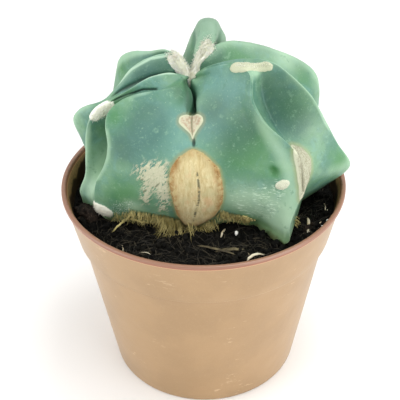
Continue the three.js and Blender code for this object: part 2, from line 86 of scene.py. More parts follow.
class Shader:
    """A short way to write one material's nodes. Sockets and plain values both serve as inputs."""

    def __init__(self, name):
        self.material = bpy.data.materials.new(name)
        self.material.use_nodes = True
        self.tree = self.material.node_tree
        self.surface = self.tree.nodes["Principled BSDF"]
        place = self.node("ShaderNodeTexCoord").outputs["Object"]
        self.place = self.vector("SCALE", place, scale=1000)

    def node(self, kind, inputs=None, **settings):
        made = self.tree.nodes.new(kind)
        for key, value in settings.items():
            setattr(made, key, value)
        for key, value in (inputs or {}).items():
            self.feed(made.inputs[key], value)
        return made

    def feed(self, socket, value):
        if isinstance(value, bpy.types.NodeSocket):
            self.tree.links.new(value, socket)
        elif socket.type == "RGBA" and len(value) == 3:
            socket.default_value = (*value, 1)
        else:
            socket.default_value = value

    def math(self, operation, a, b=0.0, clamp=False):
        made = self.node("ShaderNodeMath", {0: a, 1: b}, operation=operation)
        made.use_clamp = clamp
        return made.outputs[0]

    def vector(self, operation, a, b=(0, 0, 0), scale=1.0):
        made = self.node("ShaderNodeVectorMath", {0: a, 1: b, 3: scale}, operation=operation)
        return made.outputs["Value" if operation == "DOT_PRODUCT" else "Vector"]

    def stretch(self, factors, place=None):
        return self.vector("MULTIPLY", place or self.place, factors)

    def noise(self, scale, detail=3.0, roughness=0.55, place=None, distortion=0.0):
        made = self.node("ShaderNodeTexNoise", {
            "Vector": place or self.place, "Scale": scale, "Detail": detail,
            "Roughness": roughness, "Distortion": distortion})
        return made.outputs["Fac"]

    def cells(self, scale, feature="F1", place=None):
        inputs = {"Vector": place or self.place, "Scale": scale}
        return self.node("ShaderNodeTexVoronoi", inputs, feature=feature).outputs["Distance"]

    def field(self, name):
        return self.node("ShaderNodeAttribute", attribute_name=name).outputs["Fac"]

    def step(self, value, low, high, to_low=0.0, to_high=1.0):
        made = self.node("ShaderNodeMapRange", {
            "Value": value, "From Min": low, "From Max": high, "To Min": to_low, "To Max": to_high},
            interpolation_type="SMOOTHSTEP")
        return made.outputs[0]

    def mix(self, share, a, b):
        made = self.node("ShaderNodeMix", data_type="RGBA")
        self.feed(made.inputs["Factor"], share)
        self.feed(made.inputs[6], a)
        self.feed(made.inputs[7], b)
        return made.outputs[2]

    def times(self, a, b):
        return self.math("MULTIPLY", a, b)

    def add(self, a, b):
        return self.math("ADD", a, b)

    def height(self):
        return self.node("ShaderNodeSeparateXYZ", {0: self.place}).outputs[2]

    def blend(self, share, low, high):
        """Between two screen colours."""
        return self.mix(share, tint(*low), tint(*high))

    def coat(self, base, layers):
        """A colour with layers over it, each a share from 0 to 1, an amount and a screen colour."""
        for share, amount, shade in layers:
            base = self.mix(self.times(share, amount), base, tint(*shade))
        return base

    def bump(self, height, distance, strength, below=None):
        inputs = {"Height": height, "Distance": distance * MM, "Strength": strength}
        if below is not None:
            inputs["Normal"] = below
        return self.node("ShaderNodeBump", inputs).outputs[0]

    def finish(self, color, roughness, normal=None, **sockets):
        self.feed(self.surface.inputs["Base Color"], color)
        self.feed(self.surface.inputs["Roughness"], roughness)
        if normal is not None:
            self.feed(self.surface.inputs["Normal"], normal)
        for name, value in sockets.items():
            self.feed(self.surface.inputs[name.replace("_", " ")], value)
        return self.material


def linear(value):
    """A screen value, 0 to 255, as the linear value that a node takes."""
    return ((value / 255 + 0.055) / 1.055) ** 2.4 if value > 10 else value / 255 / 12.92


def tint(red, green, blue):
    """A screen colour as the linear colour that a node takes."""
    return linear(red), linear(green), linear(blue)


# Mesh helpers


def add_piece(name, points, faces, material, fields=None):
    mesh = bpy.data.meshes.new(name)
    mesh.from_pydata((np.asarray(points, float) * MM).tolist(), [], faces)
    mesh.materials.append(material)
    mesh.shade_smooth()
    for key, values in (fields or {}).items():
        layer = mesh.attributes.new(key, "FLOAT", "POINT")
        layer.data.foreach_set("value", np.asarray(values, np.float32))
    piece = bpy.data.objects.new(name, mesh)
    bpy.context.scene.collection.objects.link(piece)
    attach(piece, "root")
    return piece


def unit(vectors):
    vectors = np.asarray(vectors, float)
    return vectors / (np.linalg.norm(vectors, axis=-1, keepdims=True) + 1e-9)


def smoothstep(low, high, value):
    t = np.clip((value - low) / (high - low), 0, 1)
    return t * t * (3 - 2 * t)


def noise_at(points, scale, octaves, offset=0.0):
    """Fractal noise, about -1 to 1, at each point."""
    shift = Vector((offset, offset, offset))
    return np.array([noise.fractal(Vector(p) * scale + shift, 1.0, 2.0, octaves) for p in points])


def polar(radius, angle, middle=(0.0, 0.0)):
    """A place seen from above, at a distance and an angle from a middle."""
    return middle[0] + radius * math.cos(angle), middle[1] + radius * math.sin(angle)


def ring_faces(rings, sides, first):
    """Quads between rings of points, each ring running anticlockwise seen from above, lowest ring first."""
    faces = []
    for ring in range(rings - 1):
        base = first + ring * sides
        for side in range(sides):
            turn = (side + 1) % sides
            faces.append((base + side, base + turn, base + sides + turn, base + sides + side))
    return faces


def closed_faces(rings, sides):
    """Faces of rings closed by two points: the bottom point comes first and the top point last."""
    last, base = rings * sides + 1, 1 + (rings - 1) * sides
    faces = ring_faces(rings, sides, 1)
    faces += [(0, 1 + (side + 1) % sides, 1 + side) for side in range(sides)]
    faces += [(last, base + side, base + (side + 1) % sides) for side in range(sides)]
    return faces


def closed_rings(bottom, rings, top):
    """A closed surface from a bottom point, rings of points and a top point."""
    return np.concatenate([[bottom], np.concatenate(rings), [top]]), closed_faces(len(rings), len(rings[0]))


# Plant skin

GROWING_POINT = (-3.3, 4.2, 96.0)
# Lines from the growing point down the plant, anticlockwise from the front: half the width of the crest
# or groove that each one is, and its points.
GUIDE_LINES = {
    "front valley": (0, [
        (-3.6, 1.6, 91.6), (-2.3, -1.6, 89.6), (-2, -4.8, 89.8), (-3.1, -8.4, 91.1), (-3.2, -11.4, 89.4),
        (-2.8, -14.4, 86.6), (-2.4, -18.4, 82.8), (-2.4, -20.6, 77), (-2.5, -20.4, 69), (-2.6, -17.6, 60)]),
    "cork right": (0, [
        (-2.8, 1, 96.7), (-1.3, -2.8, 96), (-1.5, -7.6, 94.3), (0.2, -12.2, 91.2), (2.4, -16, 87.2),
        (4.2, -18.6, 82), (5.6, -20.2, 74.5), (6.4, -18.4, 66), (7, -14.6, 59)]),
    "right front facet": (0, [
        (-0.2, 1.2, 98), (3.2, -3.6, 100.6), (6.6, -9, 99.8), (9.4, -14, 96), (11.8, -17.6, 90.5),
        (13.8, -20.2, 83.5), (15, -21.4, 76), (15.6, -20.2, 67.5), (15.8, -17, 59.5)]),
    "right front ridge": (0.3, [
        (-0.3, 1.3, 99.4), (7, -5.7, 104.2), (12.2, -10.8, 105.1), (12.6, -15.2, 100.2),
        (14.8, -18.1, 96.2), (18.5, -20.2, 92.5), (23.6, -21.2, 87.6), (26.6, -22.8, 77.6), (24.6, -24, 69),
        (23.5, -24.6, 65), (23.2, -25.3, 59.6)]),
    "right front wall": (0, [
        (0.1, 1.75, 99.8), (7.7, -4.8, 104.9), (13.5, -9.4, 105), (13.6, -12, 99.4), (15.6, -14.6, 94.8),
        (19.4, -16.6, 90.2), (24.8, -18, 84.8), (28.2, -18.8, 77), (27.2, -17.8, 68.6), (26.4, -17.2, 64.6),
        (26.2, -15.2, 59.2)]),
    "right pocket": (0.6, [
        (0.5, 2.2, 100.2), (8.4, -4, 105.3), (15.2, -8.1, 105.2), (16.4, -8, 98.4), (18.6, -8.2, 91.4),
        (22.8, -11.8, 85.4), (28, -15, 80), (29.8, -14.4, 74), (29.4, -10.8, 66.5), (28.8, -5.4, 58.9)]),
    "right ridge": (0.6, [
        (1.5, 3.3, 99.6), (9.9, -2.4, 104.9), (18.4, -7.4, 106.4), (24, -8.6, 102.4), (29.2, -7.8, 96.2),
        (33.6, -6.4, 88), (37.8, -5, 79.6), (42.4, -3.8, 71), (39.6, -1.6, 65.4), (33.8, 0.6, 58.6)]),
    "right groove": (0.3, [
        (1, 5, 97), (7.6, 3.2, 96.6), (14.6, 1.8, 95.6), (21.6, 1.6, 91.8), (27.2, 2.2, 86.2),
        (31, 3.2, 80), (33, 3.8, 73.6), (32.4, 5.6, 66.5), (30.2, 6.6, 58.6)]),
    "right back ridge": (1, [
        (0.9, 7.8, 101), (6.6, 11.6, 103), (14.2, 13.4, 101.8), (22, 15.2, 98.4), (28.6, 16.3, 94.6),
        (33.4, 16.8, 90), (35, 17.1, 83.6), (34.6, 17, 75), (33.4, 17, 67), (31.4, 16, 58.6)]),
    "back right groove": (0.3, [
        (0.9, 8.6, 99), (5.8, 12.8, 99.4), (10.4, 18, 96.4), (16.6, 24.2, 87.6), (20.4, 26, 82),
        (23, 27, 76), (23.2, 26.8, 70), (21.8, 25.6, 64.4), (19.6, 23.4, 58.4)]),
    "back right ridge": (0.9, [
        (0.6, 8.9, 98.8), (5.5, 13.8, 99), (9.4, 19.4, 97.4), (11.4, 24.6, 94.8), (13.8, 33, 85.6),
        (14.8, 35.8, 79.6), (14.6, 36.2, 73), (13.4, 34, 66), (11.8, 30.6, 58.4)]),
    "back groove": (0.2, [
        (0.2, 9.2, 98), (4.9, 14.6, 97.4), (7.4, 19.4, 94.8), (9.6, 27.8, 87), (10, 30.6, 81.8),
        (10, 31.8, 76), (9.6, 31.6, 70), (8.8, 30.2, 64), (7.6, 28, 58.4)]),
    "back ridge right side": (0, [
        (-0.1, 9.4, 98.8), (4.4, 14, 100.4), (6.8, 18.4, 101.6), (7.2, 23.6, 99.4), (6.2, 29, 94.2),
        (4.7, 32.8, 87.4), (4.3, 34.8, 80.6), (4.1, 34.6, 72.8), (3.9, 32.4, 65), (3.6, 29.6, 58.4)]),
    "back ridge": (2.2, [
        (-0.7, 9.7, 100.6), (1.6, 13.4, 104.8), (1.8, 18, 107.2), (2, 23.4, 105.2), (1.2, 29, 100),
        (0.4, 33.6, 92.6), (-0.2, 36.4, 83.6), (-0.4, 36.2, 74.2), (-0.4, 33.4, 65.6), (-0.4, 30, 58.4)]),
    "back ridge left side": (0, [
        (-2.3, 10, 97.4), (-2.5, 13.8, 99.4), (-3.3, 18.2, 101.4), (-3.4, 23.6, 99.4), (-3.7, 29, 94.2),
        (-3.9, 32.8, 87.4), (-4.5, 34.8, 80.6), (-4.7, 34.6, 72.8), (-4.5, 32.4, 65), (-4.3, 29.6, 58.4)]),
    "back left groove": (0.3, [
        (-3.9, 9, 94.6), (-5.2, 13.4, 92.6), (-7, 18.4, 90.8), (-8.8, 22.4, 87.4), (-10.2, 25, 82.4),
        (-11.2, 26.6, 76.6), (-11.4, 26.4, 70.4), (-10.8, 24.8, 64.4), (-9.8, 22.8, 58.4)]),
    "back left ridge": (1.3, [
        (-5.6, 7.4, 99.8), (-9.4, 10.4, 101.4), (-14.6, 13.8, 99.6), (-19.8, 17.2, 97.9),
        (-23.4, 20.2, 94.7), (-24.8, 22.2, 90.2), (-26, 23, 82.4), (-27.4, 23.4, 74.4), (-27.6, 22, 66),
        (-25.2, 19.6, 58.6)]),
    "left back groove": (0.3, [
        (-5.4, 6.9, 97.6), (-9.8, 9.8, 98), (-15.4, 11.6, 96), (-21, 13, 91.6), (-25.6, 14, 86),
        (-29.2, 14.8, 79.6), (-31, 15, 73), (-30.8, 14.4, 66.4), (-28.8, 13, 58.6)]),
    "left ridge": (0.9, [
        (-5.4, 6.2, 99.4), (-9, 8, 101), (-14.4, 8.2, 100.2), (-20.2, 7.6, 97.1), (-25, 6.8, 91.5),
        (-29.6, 6.3, 87.3), (-34.6, 7.4, 85.2), (-38, 8.6, 80.7), (-36.4, 8.6, 73.8), (-34.2, 8.4, 66),
        (-32, 7.6, 58.6)]),
    "left groove": (0.3, [
        (-5.2, 4.4, 93.6), (-9.8, 4, 92.6), (-14.6, 3.8, 91.8), (-20.4, 3.4, 89.4), (-25.8, 2.6, 86.4),
        (-29.2, 1.8, 83.4), (-31, 1.6, 79), (-31.8, 1.6, 73.6), (-32, 1.4, 66.4), (-31, 1.2, 58.8)]),
    "left front ridge": (0.6, [
        (-5, 3, 97.6), (-9.4, 1.8, 98.8), (-15, 0, 98.2), (-20.6, -2.2, 95.8), (-26, -4.2, 93.6),
        (-30.2, -5, 90.6), (-32.4, -5.2, 85), (-33.3, -5.8, 77.6), (-34.2, -6.2, 70.6), (-36.2, -6.2, 64.6),
        (-34.6, -5.6, 58.8)]),
    "left pocket": (0.25, [
        (-4.6, 2.2, 97.9), (-9, -1.5, 97.2), (-13.2, -3, 95.9), (-17.2, -2.4, 95), (-21, -3, 94),
        (-24.8, -5, 92), (-25.4, -3.4, 88), (-23.8, -0.8, 82.6), (-25.4, -2.8, 77), (-30.2, -6.8, 71),
        (-33, -9.4, 64.8), (-31.6, -8.6, 59)]),
    "left front edge": (0.4, [
        (-4.6, 1.5, 97.7), (-7.2, -3.2, 97.8), (-12, -5.4, 97.4), (-17.2, -5.6, 96.6), (-22, -6.9, 95.2),
        (-25.6, -9, 92.6), (-26.4, -11, 89.8), (-26, -12.4, 84.4), (-27.2, -13.2, 78.8), (-30.2, -13.2, 72),
        (-30.8, -13.4, 65.4), (-28.6, -12.4, 59.2)]),
    "left front facet": (0, [
        (-4.7, 0.8, 97.4), (-5.4, -2.8, 97.3), (-6.8, -6.6, 96.2), (-10.8, -10, 94), (-15, -13.2, 90.2),
        (-16.8, -16, 84), (-17.8, -17.8, 77), (-18.8, -17.4, 69), (-18.4, -14, 59.4)]),
    "cork left": (0, [
        (-4.8, 1, 96.6), (-3.1, -2.4, 95.6), (-3.1, -6.5, 93.8), (-5.2, -11.1, 91.2), (-7.4, -15.2, 87.8),
        (-8.8, -18.2, 82.4), (-10, -20, 74.5), (-10.8, -18.4, 66.4), (-10.8, -14.8, 59)]),
}
ROWS = 24
ROW_SPREAD = 1.15      # above 1, so that rows stand closer together near the growing point
MIDDLE = (-1.5, 4.0)
ROOT_NECK = ((0.84, 54.0, 0.2), (0.56, 48.0, 0.6), (0.3, 42.5, 1.0))
ROOT_RADIUS = 22.0
ROOT_TIP = (-1.5, 4.0, 39.5)
FIT_PASSES = 2
FIT_STEP = 0.9
LEAST_WIDTH = 0.15
FULL_WIDTH_ROW = 3.0
CURVE_STEPS = 24
SKIN_COLUMNS = 520
SKIN_ROWS = 190
FRONT_SHARE = 0.55     # how much denser than the mean the columns stand on the front
FRONT_TURN = 0.02      # where the front is, as a share of the turn before the first column
DENSITY_STEPS = 4001
ROOT_ROWS = 14         # rows below the soil, where nothing shows


def spread_along(points):
    """Points at set shares of the length of a centripetal Catmull-Rom curve."""
    knots = np.array([GROWING_POINT, *points], float)
    knots = np.vstack([2 * knots[0] - knots[1], knots, 2 * knots[-1] - knots[-2]])
    curve = []
    for p0, p1, p2, p3 in zip(knots, knots[1:], knots[2:], knots[3:]):
        t1 = np.linalg.norm(p1 - p0) ** 0.5
        t2 = t1 + np.linalg.norm(p2 - p1) ** 0.5
        t3 = t2 + np.linalg.norm(p3 - p2) ** 0.5
        for t in np.linspace(t1, t2, CURVE_STEPS, endpoint=False):
            a1 = p0 + (p1 - p0) * t / t1
            a2 = p1 + (p2 - p1) * (t - t1) / (t2 - t1)
            a3 = p2 + (p3 - p2) * (t - t2) / (t3 - t2)
            b1 = a1 + (a2 - a1) * t / t2
            b2 = a2 + (a3 - a2) * (t - t1) / (t3 - t1)
            curve.append(b1 + (b2 - b1) * (t - t1) / (t2 - t1))
    curve = np.array([*curve, knots[-2]])
    length = np.concatenate([[0], np.cumsum(np.linalg.norm(np.diff(curve, axis=0), axis=1))])
    shares = (np.arange(1, ROWS + 1) / ROWS) ** ROW_SPREAD * length[-1]
    return np.stack([np.interp(shares, length, curve[:, k]) for k in range(3)], -1)


def net_columns():
    """The net's columns: a crest or groove with a width takes two, and one stands between neighbours."""
    guides = [(width, spread_along(points)) for width, points in GUIDE_LINES.values()]
    growth = np.clip(np.arange(ROWS) / FULL_WIDTH_ROW, LEAST_WIDTH, 1)[:, None]
    edges = []
    for index, (width, rows) in enumerate(guides):
        across = unit(guides[(index + 1) % len(guides)][1] - guides[index - 1][1])
        shift = across * width * growth
        edges.append([rows - shift, rows + shift] if width else [rows])
    columns = []
    for index, pair in enumerate(edges):
        columns += [*pair, (pair[-1] + edges[(index + 1) % len(edges)][0]) / 2]
    return np.array(columns)


def with_root(columns):
    """Below the soil each column runs in to the root neck, and the neck turns round with depth."""
    outward = columns[:, -1, :2] - MIDDLE
    reach = np.linalg.norm(outward, axis=1, keepdims=True)
    start = math.atan2(outward[0, 1], outward[0, 0])
    turn = start + TAU * np.arange(len(columns)) / len(columns)
    even = np.stack([np.cos(turn), np.sin(turn)], -1)
    neck = []
    for share, height, roundness in ROOT_NECK:
        direction = unit(outward / reach + (even - outward / reach) * roundness)
        flat = MIDDLE + direction * share * (reach + (ROOT_RADIUS - reach) * roundness)
        neck.append(np.concatenate([flat, np.full((len(flat), 1), height)], 1))
    ends = [np.broadcast_to(point, (len(columns), 1, 3)) for point in (GROWING_POINT, ROOT_TIP)]
    return np.concatenate([ends[0], columns, np.stack(neck, 1), ends[1]], 1)


def fitted(target):
    """The smooth surface falls short of its net, so the net is pushed out until it meets the lines."""
    net = target.copy()
    for _ in range(FIT_PASSES):
        around = (np.roll(net, 1, 0) + 4 * net + np.roll(net, -1, 0)) / 6
        reached = around.copy()
        reached[:, 1:-1] = (around[:, :-2] + 4 * around[:, 1:-1] + around[:, 2:]) / 6
        net = net + (target - reached) * FIT_STEP
    return net


def spline_weights(t):
    """The four weights of a uniform cubic B-spline."""
    return np.stack([(1 - t) ** 3, 3 * t ** 3 - 6 * t ** 2 + 4,
                     -3 * t ** 3 + 3 * t ** 2 + 3 * t + 1, t ** 3], -1) / 6


def spline_grid(net, around, along):
    """The surface at the given places round the net (in columns) and down it (in rows)."""
    first = np.floor(around).astype(int)
    weights = spline_weights(around - first)
    rows = sum(weights[:, k][:, None, None] * net[(first + k - 1) % len(net)] for k in range(4))
    padded = np.concatenate([2 * rows[:, :1] - rows[:, 1:2], rows, 2 * rows[:, -1:] - rows[:, -2:-1]], 1)
    span = np.minimum(np.floor(along).astype(int), net.shape[1] - 2)
    weights = spline_weights(along - span)
    return sum(weights[:, k][None, :, None] * padded[:, span + k] for k in range(4))


def column_places(count, columns):
    """Places round the net, closer together on the front, where the first and last columns are."""
    turn = np.linspace(0, 1, DENSITY_STEPS)
    density = 1 + FRONT_SHARE * np.cos(TAU * (turn + FRONT_TURN))
    reached = np.concatenate([[0], np.cumsum((density[1:] + density[:-1]) / 2)])
    reached /= reached[-1]
    return np.interp(np.arange(count) / count, reached, turn) * columns


def row_places(count, spans):
    shown = spans - len(ROOT_NECK) - 1
    above = np.linspace(0, shown, count - ROOT_ROWS, endpoint=False)
    return np.concatenate([above, np.linspace(shown, spans, ROOT_ROWS)])


def grid_normals(grid):
    around = np.roll(grid, -1, 0) - np.roll(grid, 1, 0)
    along = np.gradient(grid, axis=1)
    normals = unit(np.cross(along, around))
    normals[:, 0] = (0, 0, 1)
    normals[:, -1] = (0, 0, -1)
    return normals


net = fitted(with_root(net_columns()))
skin = spline_grid(net, column_places(SKIN_COLUMNS, len(net)), row_places(SKIN_ROWS, net.shape[1] - 1))
skin_normals = grid_normals(skin)

# Places on the skin, each with its middle, the direction of its long half and its two half lengths.
WOOL_PLACES = {
    "left": ((-28.1, -4.8, 91.1), (0.84, 0.1, 0.54), (4.2, 2.2)),
    "low": ((-29.6, -13.2, 63.2), (0.88, 0, -0.47), (3.9, 2.2)),
    "small": ((21.4, -22.3, 77.2), (0.84, 0, 0.54), (2.1, 1.6)),
}
# shares of the way down the crests at the back where small areoles sit
CREST_AREOLES = {
    "right back ridge": (0.78,),
    "back right ridge": (0.35, 0.68),
    "back ridge": (0.42, 0.75),
    "back left ridge": (0.7,),
}
AREOLE_HALF = (2.0, 1.6)
WOOL_HEIGHT = 0.7
CREST_WOOL_HEIGHT = 0.45
DIMPLE = ((18.9, -21.6, 80.9), (0.5, 0, -0.86), (2.4, 1.9))
CREASE = ((-2.6, -14.8, 86.4), (0, -0.62, -0.78), (1.9, 0.65))


def crest_areoles():
    """The places of the small areoles, each turned along its crest."""
    places = {}
    for name, shares in CREST_AREOLES.items():
        rows = spread_along(GUIDE_LINES[name][1])
        for share in shares:
            row = round(share * (ROWS - 1))
            places[f"{name} {row}"] = (tuple(rows[row]), tuple(rows[row + 1] - rows[row - 1]), AREOLE_HALF)
    return places


def place_reach(points, at, along, half):
    """0 in the middle of a place on the skin and 1 at its edge."""
    offset = points - np.array(at)
    lengthwise = np.abs(offset @ unit(along))
    crosswise = np.sqrt(np.maximum(0, (offset ** 2).sum(-1) - lengthwise ** 2))
    return np.hypot(lengthwise / half[0], crosswise / half[1])


# The marks on the front are laid out on a plane that faces the front and leans back: x runs to the
# right, and rise is the height up that plane.
points = skin.reshape(-1, 3)
normals = skin_normals.reshape(-1, 3)
x, rise = points[:, 0], points @ np.array(UPWARD)
FAR = 9.0                 # stands for anywhere away from a mark
OUTLINE_STEPS = 6


def closed_curve(corners):
    """A smooth closed outline through its corners."""
    knots = np.array(corners, float)
    curve = []
    for p0, p1, p2, p3 in zip(np.roll(knots, 1, 0), knots, np.roll(knots, -1, 0), np.roll(knots, -2, 0)):
        for t in np.arange(OUTLINE_STEPS) / OUTLINE_STEPS:
            curve.append(p1 + ((p2 - p0) * t + (2 * p0 - 5 * p1 + 4 * p2 - p3) * t ** 2
                               + (3 * p1 - p0 - 3 * p2 + p3) * t ** 3) / 2)
    return np.array(curve)


def segment_distances(at, start, end):
    """How far each place is from one straight stretch."""
    run = end - start
    share = np.clip(((at - start) @ run) / (run @ run), 0, 1)
    return np.linalg.norm(at - start - share[:, None] * run, axis=1), share


def depth_inside(corners, soft):
    """Millimetres inside an outline on the front plane, below 0 outside it and on the other sides."""
    curve = closed_curve(corners)
    flat = np.stack([x, rise], -1)
    middle, size = curve.mean(0), np.ptp(curve, axis=0).max() * 0.5 + 4
    near = np.where(np.linalg.norm(flat - middle, axis=1) < size * 1.5)[0]
    at = flat[near]
    nearest = np.full(len(at), FAR)
    inside = np.zeros(len(at), bool)
    for start, end in zip(curve, np.roll(curve, -1, 0)):
        nearest = np.minimum(nearest, segment_distances(at, start, end)[0])
        if start[1] != end[1]:
            crossing = (start[1] > at[:, 1]) != (end[1] > at[:, 1])
            edge = start[0] + (at[:, 1] - start[1]) * (end[0] - start[0]) / (end[1] - start[1])
            inside ^= crossing & (at[:, 0] < edge)
    depth = np.full(len(points), -FAR)
    depth[near] = np.where(inside, nearest, -nearest) + soft * rough[near]
    return np.where(front_side, depth, -FAR)


def line_reach(path, width, places=None):
    """0 along a line, 1 at its half width and FAR away from it. It thins out towards its two ends."""
    at = points if places is None else places
    knots = np.array(path, float)
    reach = np.full(len(at), FAR)
    near = np.where((np.abs(at - knots.mean(0)) < np.ptp(knots, axis=0) / 2 + 4 * width).all(1))[0]
    for index, (start, end) in enumerate(zip(knots, knots[1:])):
        distance, share = segment_distances(at[near], start, end)
        along = (index + share) / (len(knots) - 1)
        reach[near] = np.minimum(reach[near], distance / (width * (0.2 + 0.8 * smoothstep(0, 0.2, along)
                                                                   * smoothstep(1, 0.8, along))))
    return reach


rough = noise_at(points, 0.45, 3)
fine = noise_at(points, 1.4, 2, 5.0)
front_side = (normals @ np.array(FORWARD) < 0.12) & (points[:, 1] < -3)

# The outlines of the marks, as x and rise on the front plane, each with how uneven its edge is.
OUTLINES = {
    "cork": (0.28, [(-2.7, 59.9), (-1.2, 59.5), (0.4, 58.6), (2.0, 57.0), (3.8, 55.1), (5.0, 52.6),
        (5.5, 48.6), (5.3, 45.4), (4.2, 42.6), (2.2, 40.6), (-0.8, 39.0), (-4.0, 38.3), (-6.3, 39.4),
        (-7.8, 42.0), (-9.0, 46.4), (-9.6, 51.0), (-9.1, 54.7), (-7.6, 57.0), (-5.8, 58.6), (-4.2, 59.5)]),
    "wedge": (0.12, [(-3.0, 69.4), (-1.4, 69.6), (0.0, 68.8), (0.2, 67.3), (-0.9, 65.6), (-2.0, 64.0),
        (-2.8, 62.4), (-3.7, 63.9), (-5.2, 65.4), (-6.7, 66.9), (-6.5, 68.6), (-4.9, 69.5)]),
    "scratch": (0.9, [(-19.4, 54.0), (-16.4, 55.9), (-12.6, 57.0), (-9.6, 55.0), (-8.8, 51.4), (-9.2, 46.4),
        (-10.4, 43.4), (-12.4, 43.6), (-13.0, 46.6), (-14.2, 47.6), (-16.4, 44.8), (-17.4, 46.4),
        (-17.2, 51.2)]),
    "scar": (0.15, [(24.0, 60.8), (25.6, 60.9), (27.6, 60.0), (29.4, 58.2), (30.2, 55.6), (30.0, 52.4),
        (28.6, 49.2), (27.0, 45.4), (26.0, 45.6), (25.5, 49.6), (24.8, 53.6), (23.8, 57.4)]),
    "low_scratch": (0.9, [(-26.6, 44.2), (-23.2, 46.4), (-19.4, 45.6), (-20.8, 42.4), (-25.0, 41.6)]),
    "glints": (0.9, [(8.2, 48.6), (14.0, 49.6), (21.8, 51.0), (22.4, 46.6), (18.8, 40.4), (8.0, 42.6)]),
}
# The lines along them on the same plane, each with its half width.
MARK_LINES = {
    "crack": (0.5, [(-2.0, 54.6), (-1.6, 52.2), (-1.3, 48.8), (-1.5, 45.8), (-2.4, 43.0), (-3.0, 40.0)]),
    "wedge_groove": (0.45, [(-3.0, 69.0), (-3.1, 66.4), (-2.9, 63.2)]),
    "scar_groove": (0.55, [(24.8, 60.0), (25.2, 58.2), (26.0, 56.2), (26.6, 53.4), (26.8, 50.4),
        (26.9, 47.0)]),
}
SCRATCH_FRAY = 0.5
SCAR_MIDDLE = ((45.0, 52.0, 60.8), (26.4, 26.6, 24.9))      # rises up the scar and its middle there
SCAR_BLEND = 0.6
CREST_WOOL = [(7.7, 81.6), (9.0, 82.7), (11.8, 82.6), (14.4, 82.4), (17.0, 82.5), (18.7, 81.9),
              (18.9, 80.9), (18.0, 80.1), (15.4, 80.0), (13.2, 79.9), (10.8, 79.7), (8.6, 79.8),
              (7.6, 80.6)]
CREST_WOOL_UNEVEN = 0.2
CREST_WOOL_EDGE = 0.9      # how far in from its outline the crest's wool rises
CREST_HAIRS = ((13.1, -7.7, 105.4), (1, -0.15, 0.06), (5.2, 1.3))
front_plane = np.stack([x, rise, np.where(front_side, 0, FAR)], -1)


def front_line(path, width):
    return line_reach([(*at, 0.0) for at in path], width, front_plane)


marks = {name: depth_inside(corners, soft) for name, (soft, corners) in OUTLINES.items()}
marks["scratch"] = marks["scratch"] + SCRATCH_FRAY * fine
marks |= {name: front_line(path, width) for name, (width, path) in MARK_LINES.items()}
scar_left = smoothstep(SCAR_BLEND, -SCAR_BLEND, x - np.interp(rise, *SCAR_MIDDLE))

# The creases between the left folds, each its half width and its line.
FOLD_CREASES = [
    (1.0, [(-26.4, 5.4, 89.8), (-23.7, 5.5, 91.6), (-20.7, 5.5, 93.2), (-17.8, 5.7, 94.6),
        (-14.9, 5.8, 95.7), (-12.6, 5.9, 96.2), (-10.6, 5.9, 96.4), (-8.5, 5.9, 96.6), (-6.9, 5.5, 96.8),
        (-5.4, 4.9, 96.4)]),
    (0.5, [(-25.5, -4.7, 93.7), (-23.0, -3.7, 94.4), (-19.0, -2.3, 95.1), (-16.5, -2.1, 96.0),
        (-12.8, -2.5, 96.4), (-9.7, -4.3, 97.6)])]
# painted highlights: fine pale lines along the crests
CREST_LINE_WIDTH = 0.55
CREST_LINES = [
    [(18.6, -7.6, 106.3), (21.4, -8.3, 104.4), (24.6, -8.6, 101.8), (28.2, -8.0, 97.6), (31.6, -7.2, 92.4),
     (34.6, -6.3, 86.0), (37.6, -5.2, 80.2)],
    [(8.0, -5.2, 104.9), (5.0, -2.4, 103.0), (2.0, 0.4, 100.8), (-0.8, 2.6, 98.6)],
    [(13.2, -10.6, 104.6), (13.4, -14.4, 100.4), (16.0, -17.6, 95.8), (19.6, -19.6, 91.6),
     (24.4, -20.8, 86.4), (27.0, -22.4, 78.4)],
    [(-25.2, -4.9, 93.4), (-22.4, -5.0, 94.8), (-18.6, -4.6, 96.2), (-15.0, -3.4, 97.0),
     (-11.0, -3.4, 97.6)],
    [(-6.4, 1.9, 98.6), (-10.0, 1.2, 99.2), (-15.0, 0.0, 98.4), (-20.6, -2.0, 96.0), (-25.4, -3.8, 94.0)],
    [(-6.4, 6.6, 100.0), (-10.0, 8.0, 101.2), (-14.6, 8.0, 100.4), (-20.2, 7.4, 97.3), (-25.0, 6.4, 91.9)]]
# painted highlights: soft pale bands along the edges of the ridges, each its half width and its line
PALE_BANDS = [
    (3.6, [(13.0, -12.5, 101.5), (15.4, -17.4, 95.4), (18.4, -20.0, 90.4), (21.0, -21.3, 86.0),
        (23.2, -22.0, 80.5), (24.2, -23.0, 75.0), (24.0, -23.6, 70.0), (23.0, -24.4, 65.0),
        (22.4, -24.6, 61.0)]),
    (1.3, [(-27.6, -8.4, 91.8), (-26.5, -11.6, 88.4), (-26.2, -12.7, 84.6), (-26.6, -13.2, 81.2),
        (-27.9, -13.4, 77.7), (-29.7, -13.2, 74.4), (-31.2, -12.0, 71.0)]),
    (1.8, [(-31.4, -5.2, 88.0), (-33.0, -5.6, 82.0), (-33.6, -6.0, 76.0), (-34.6, -6.3, 70.0),
        (-36.0, -6.4, 65.0), (-36.0, -6.4, 61.0)]),
    (3.0, [(-29.6, -10.6, 76.0), (-31.0, -9.8, 71.0), (-33.0, -9.6, 66.0), (-33.6, -9.6, 61.0)]),
    (1.0, [(-25.0, -5.2, 93.6), (-22.0, -6.4, 94.6), (-17.0, -5.6, 96.4), (-12.0, -5.0, 97.4)])]
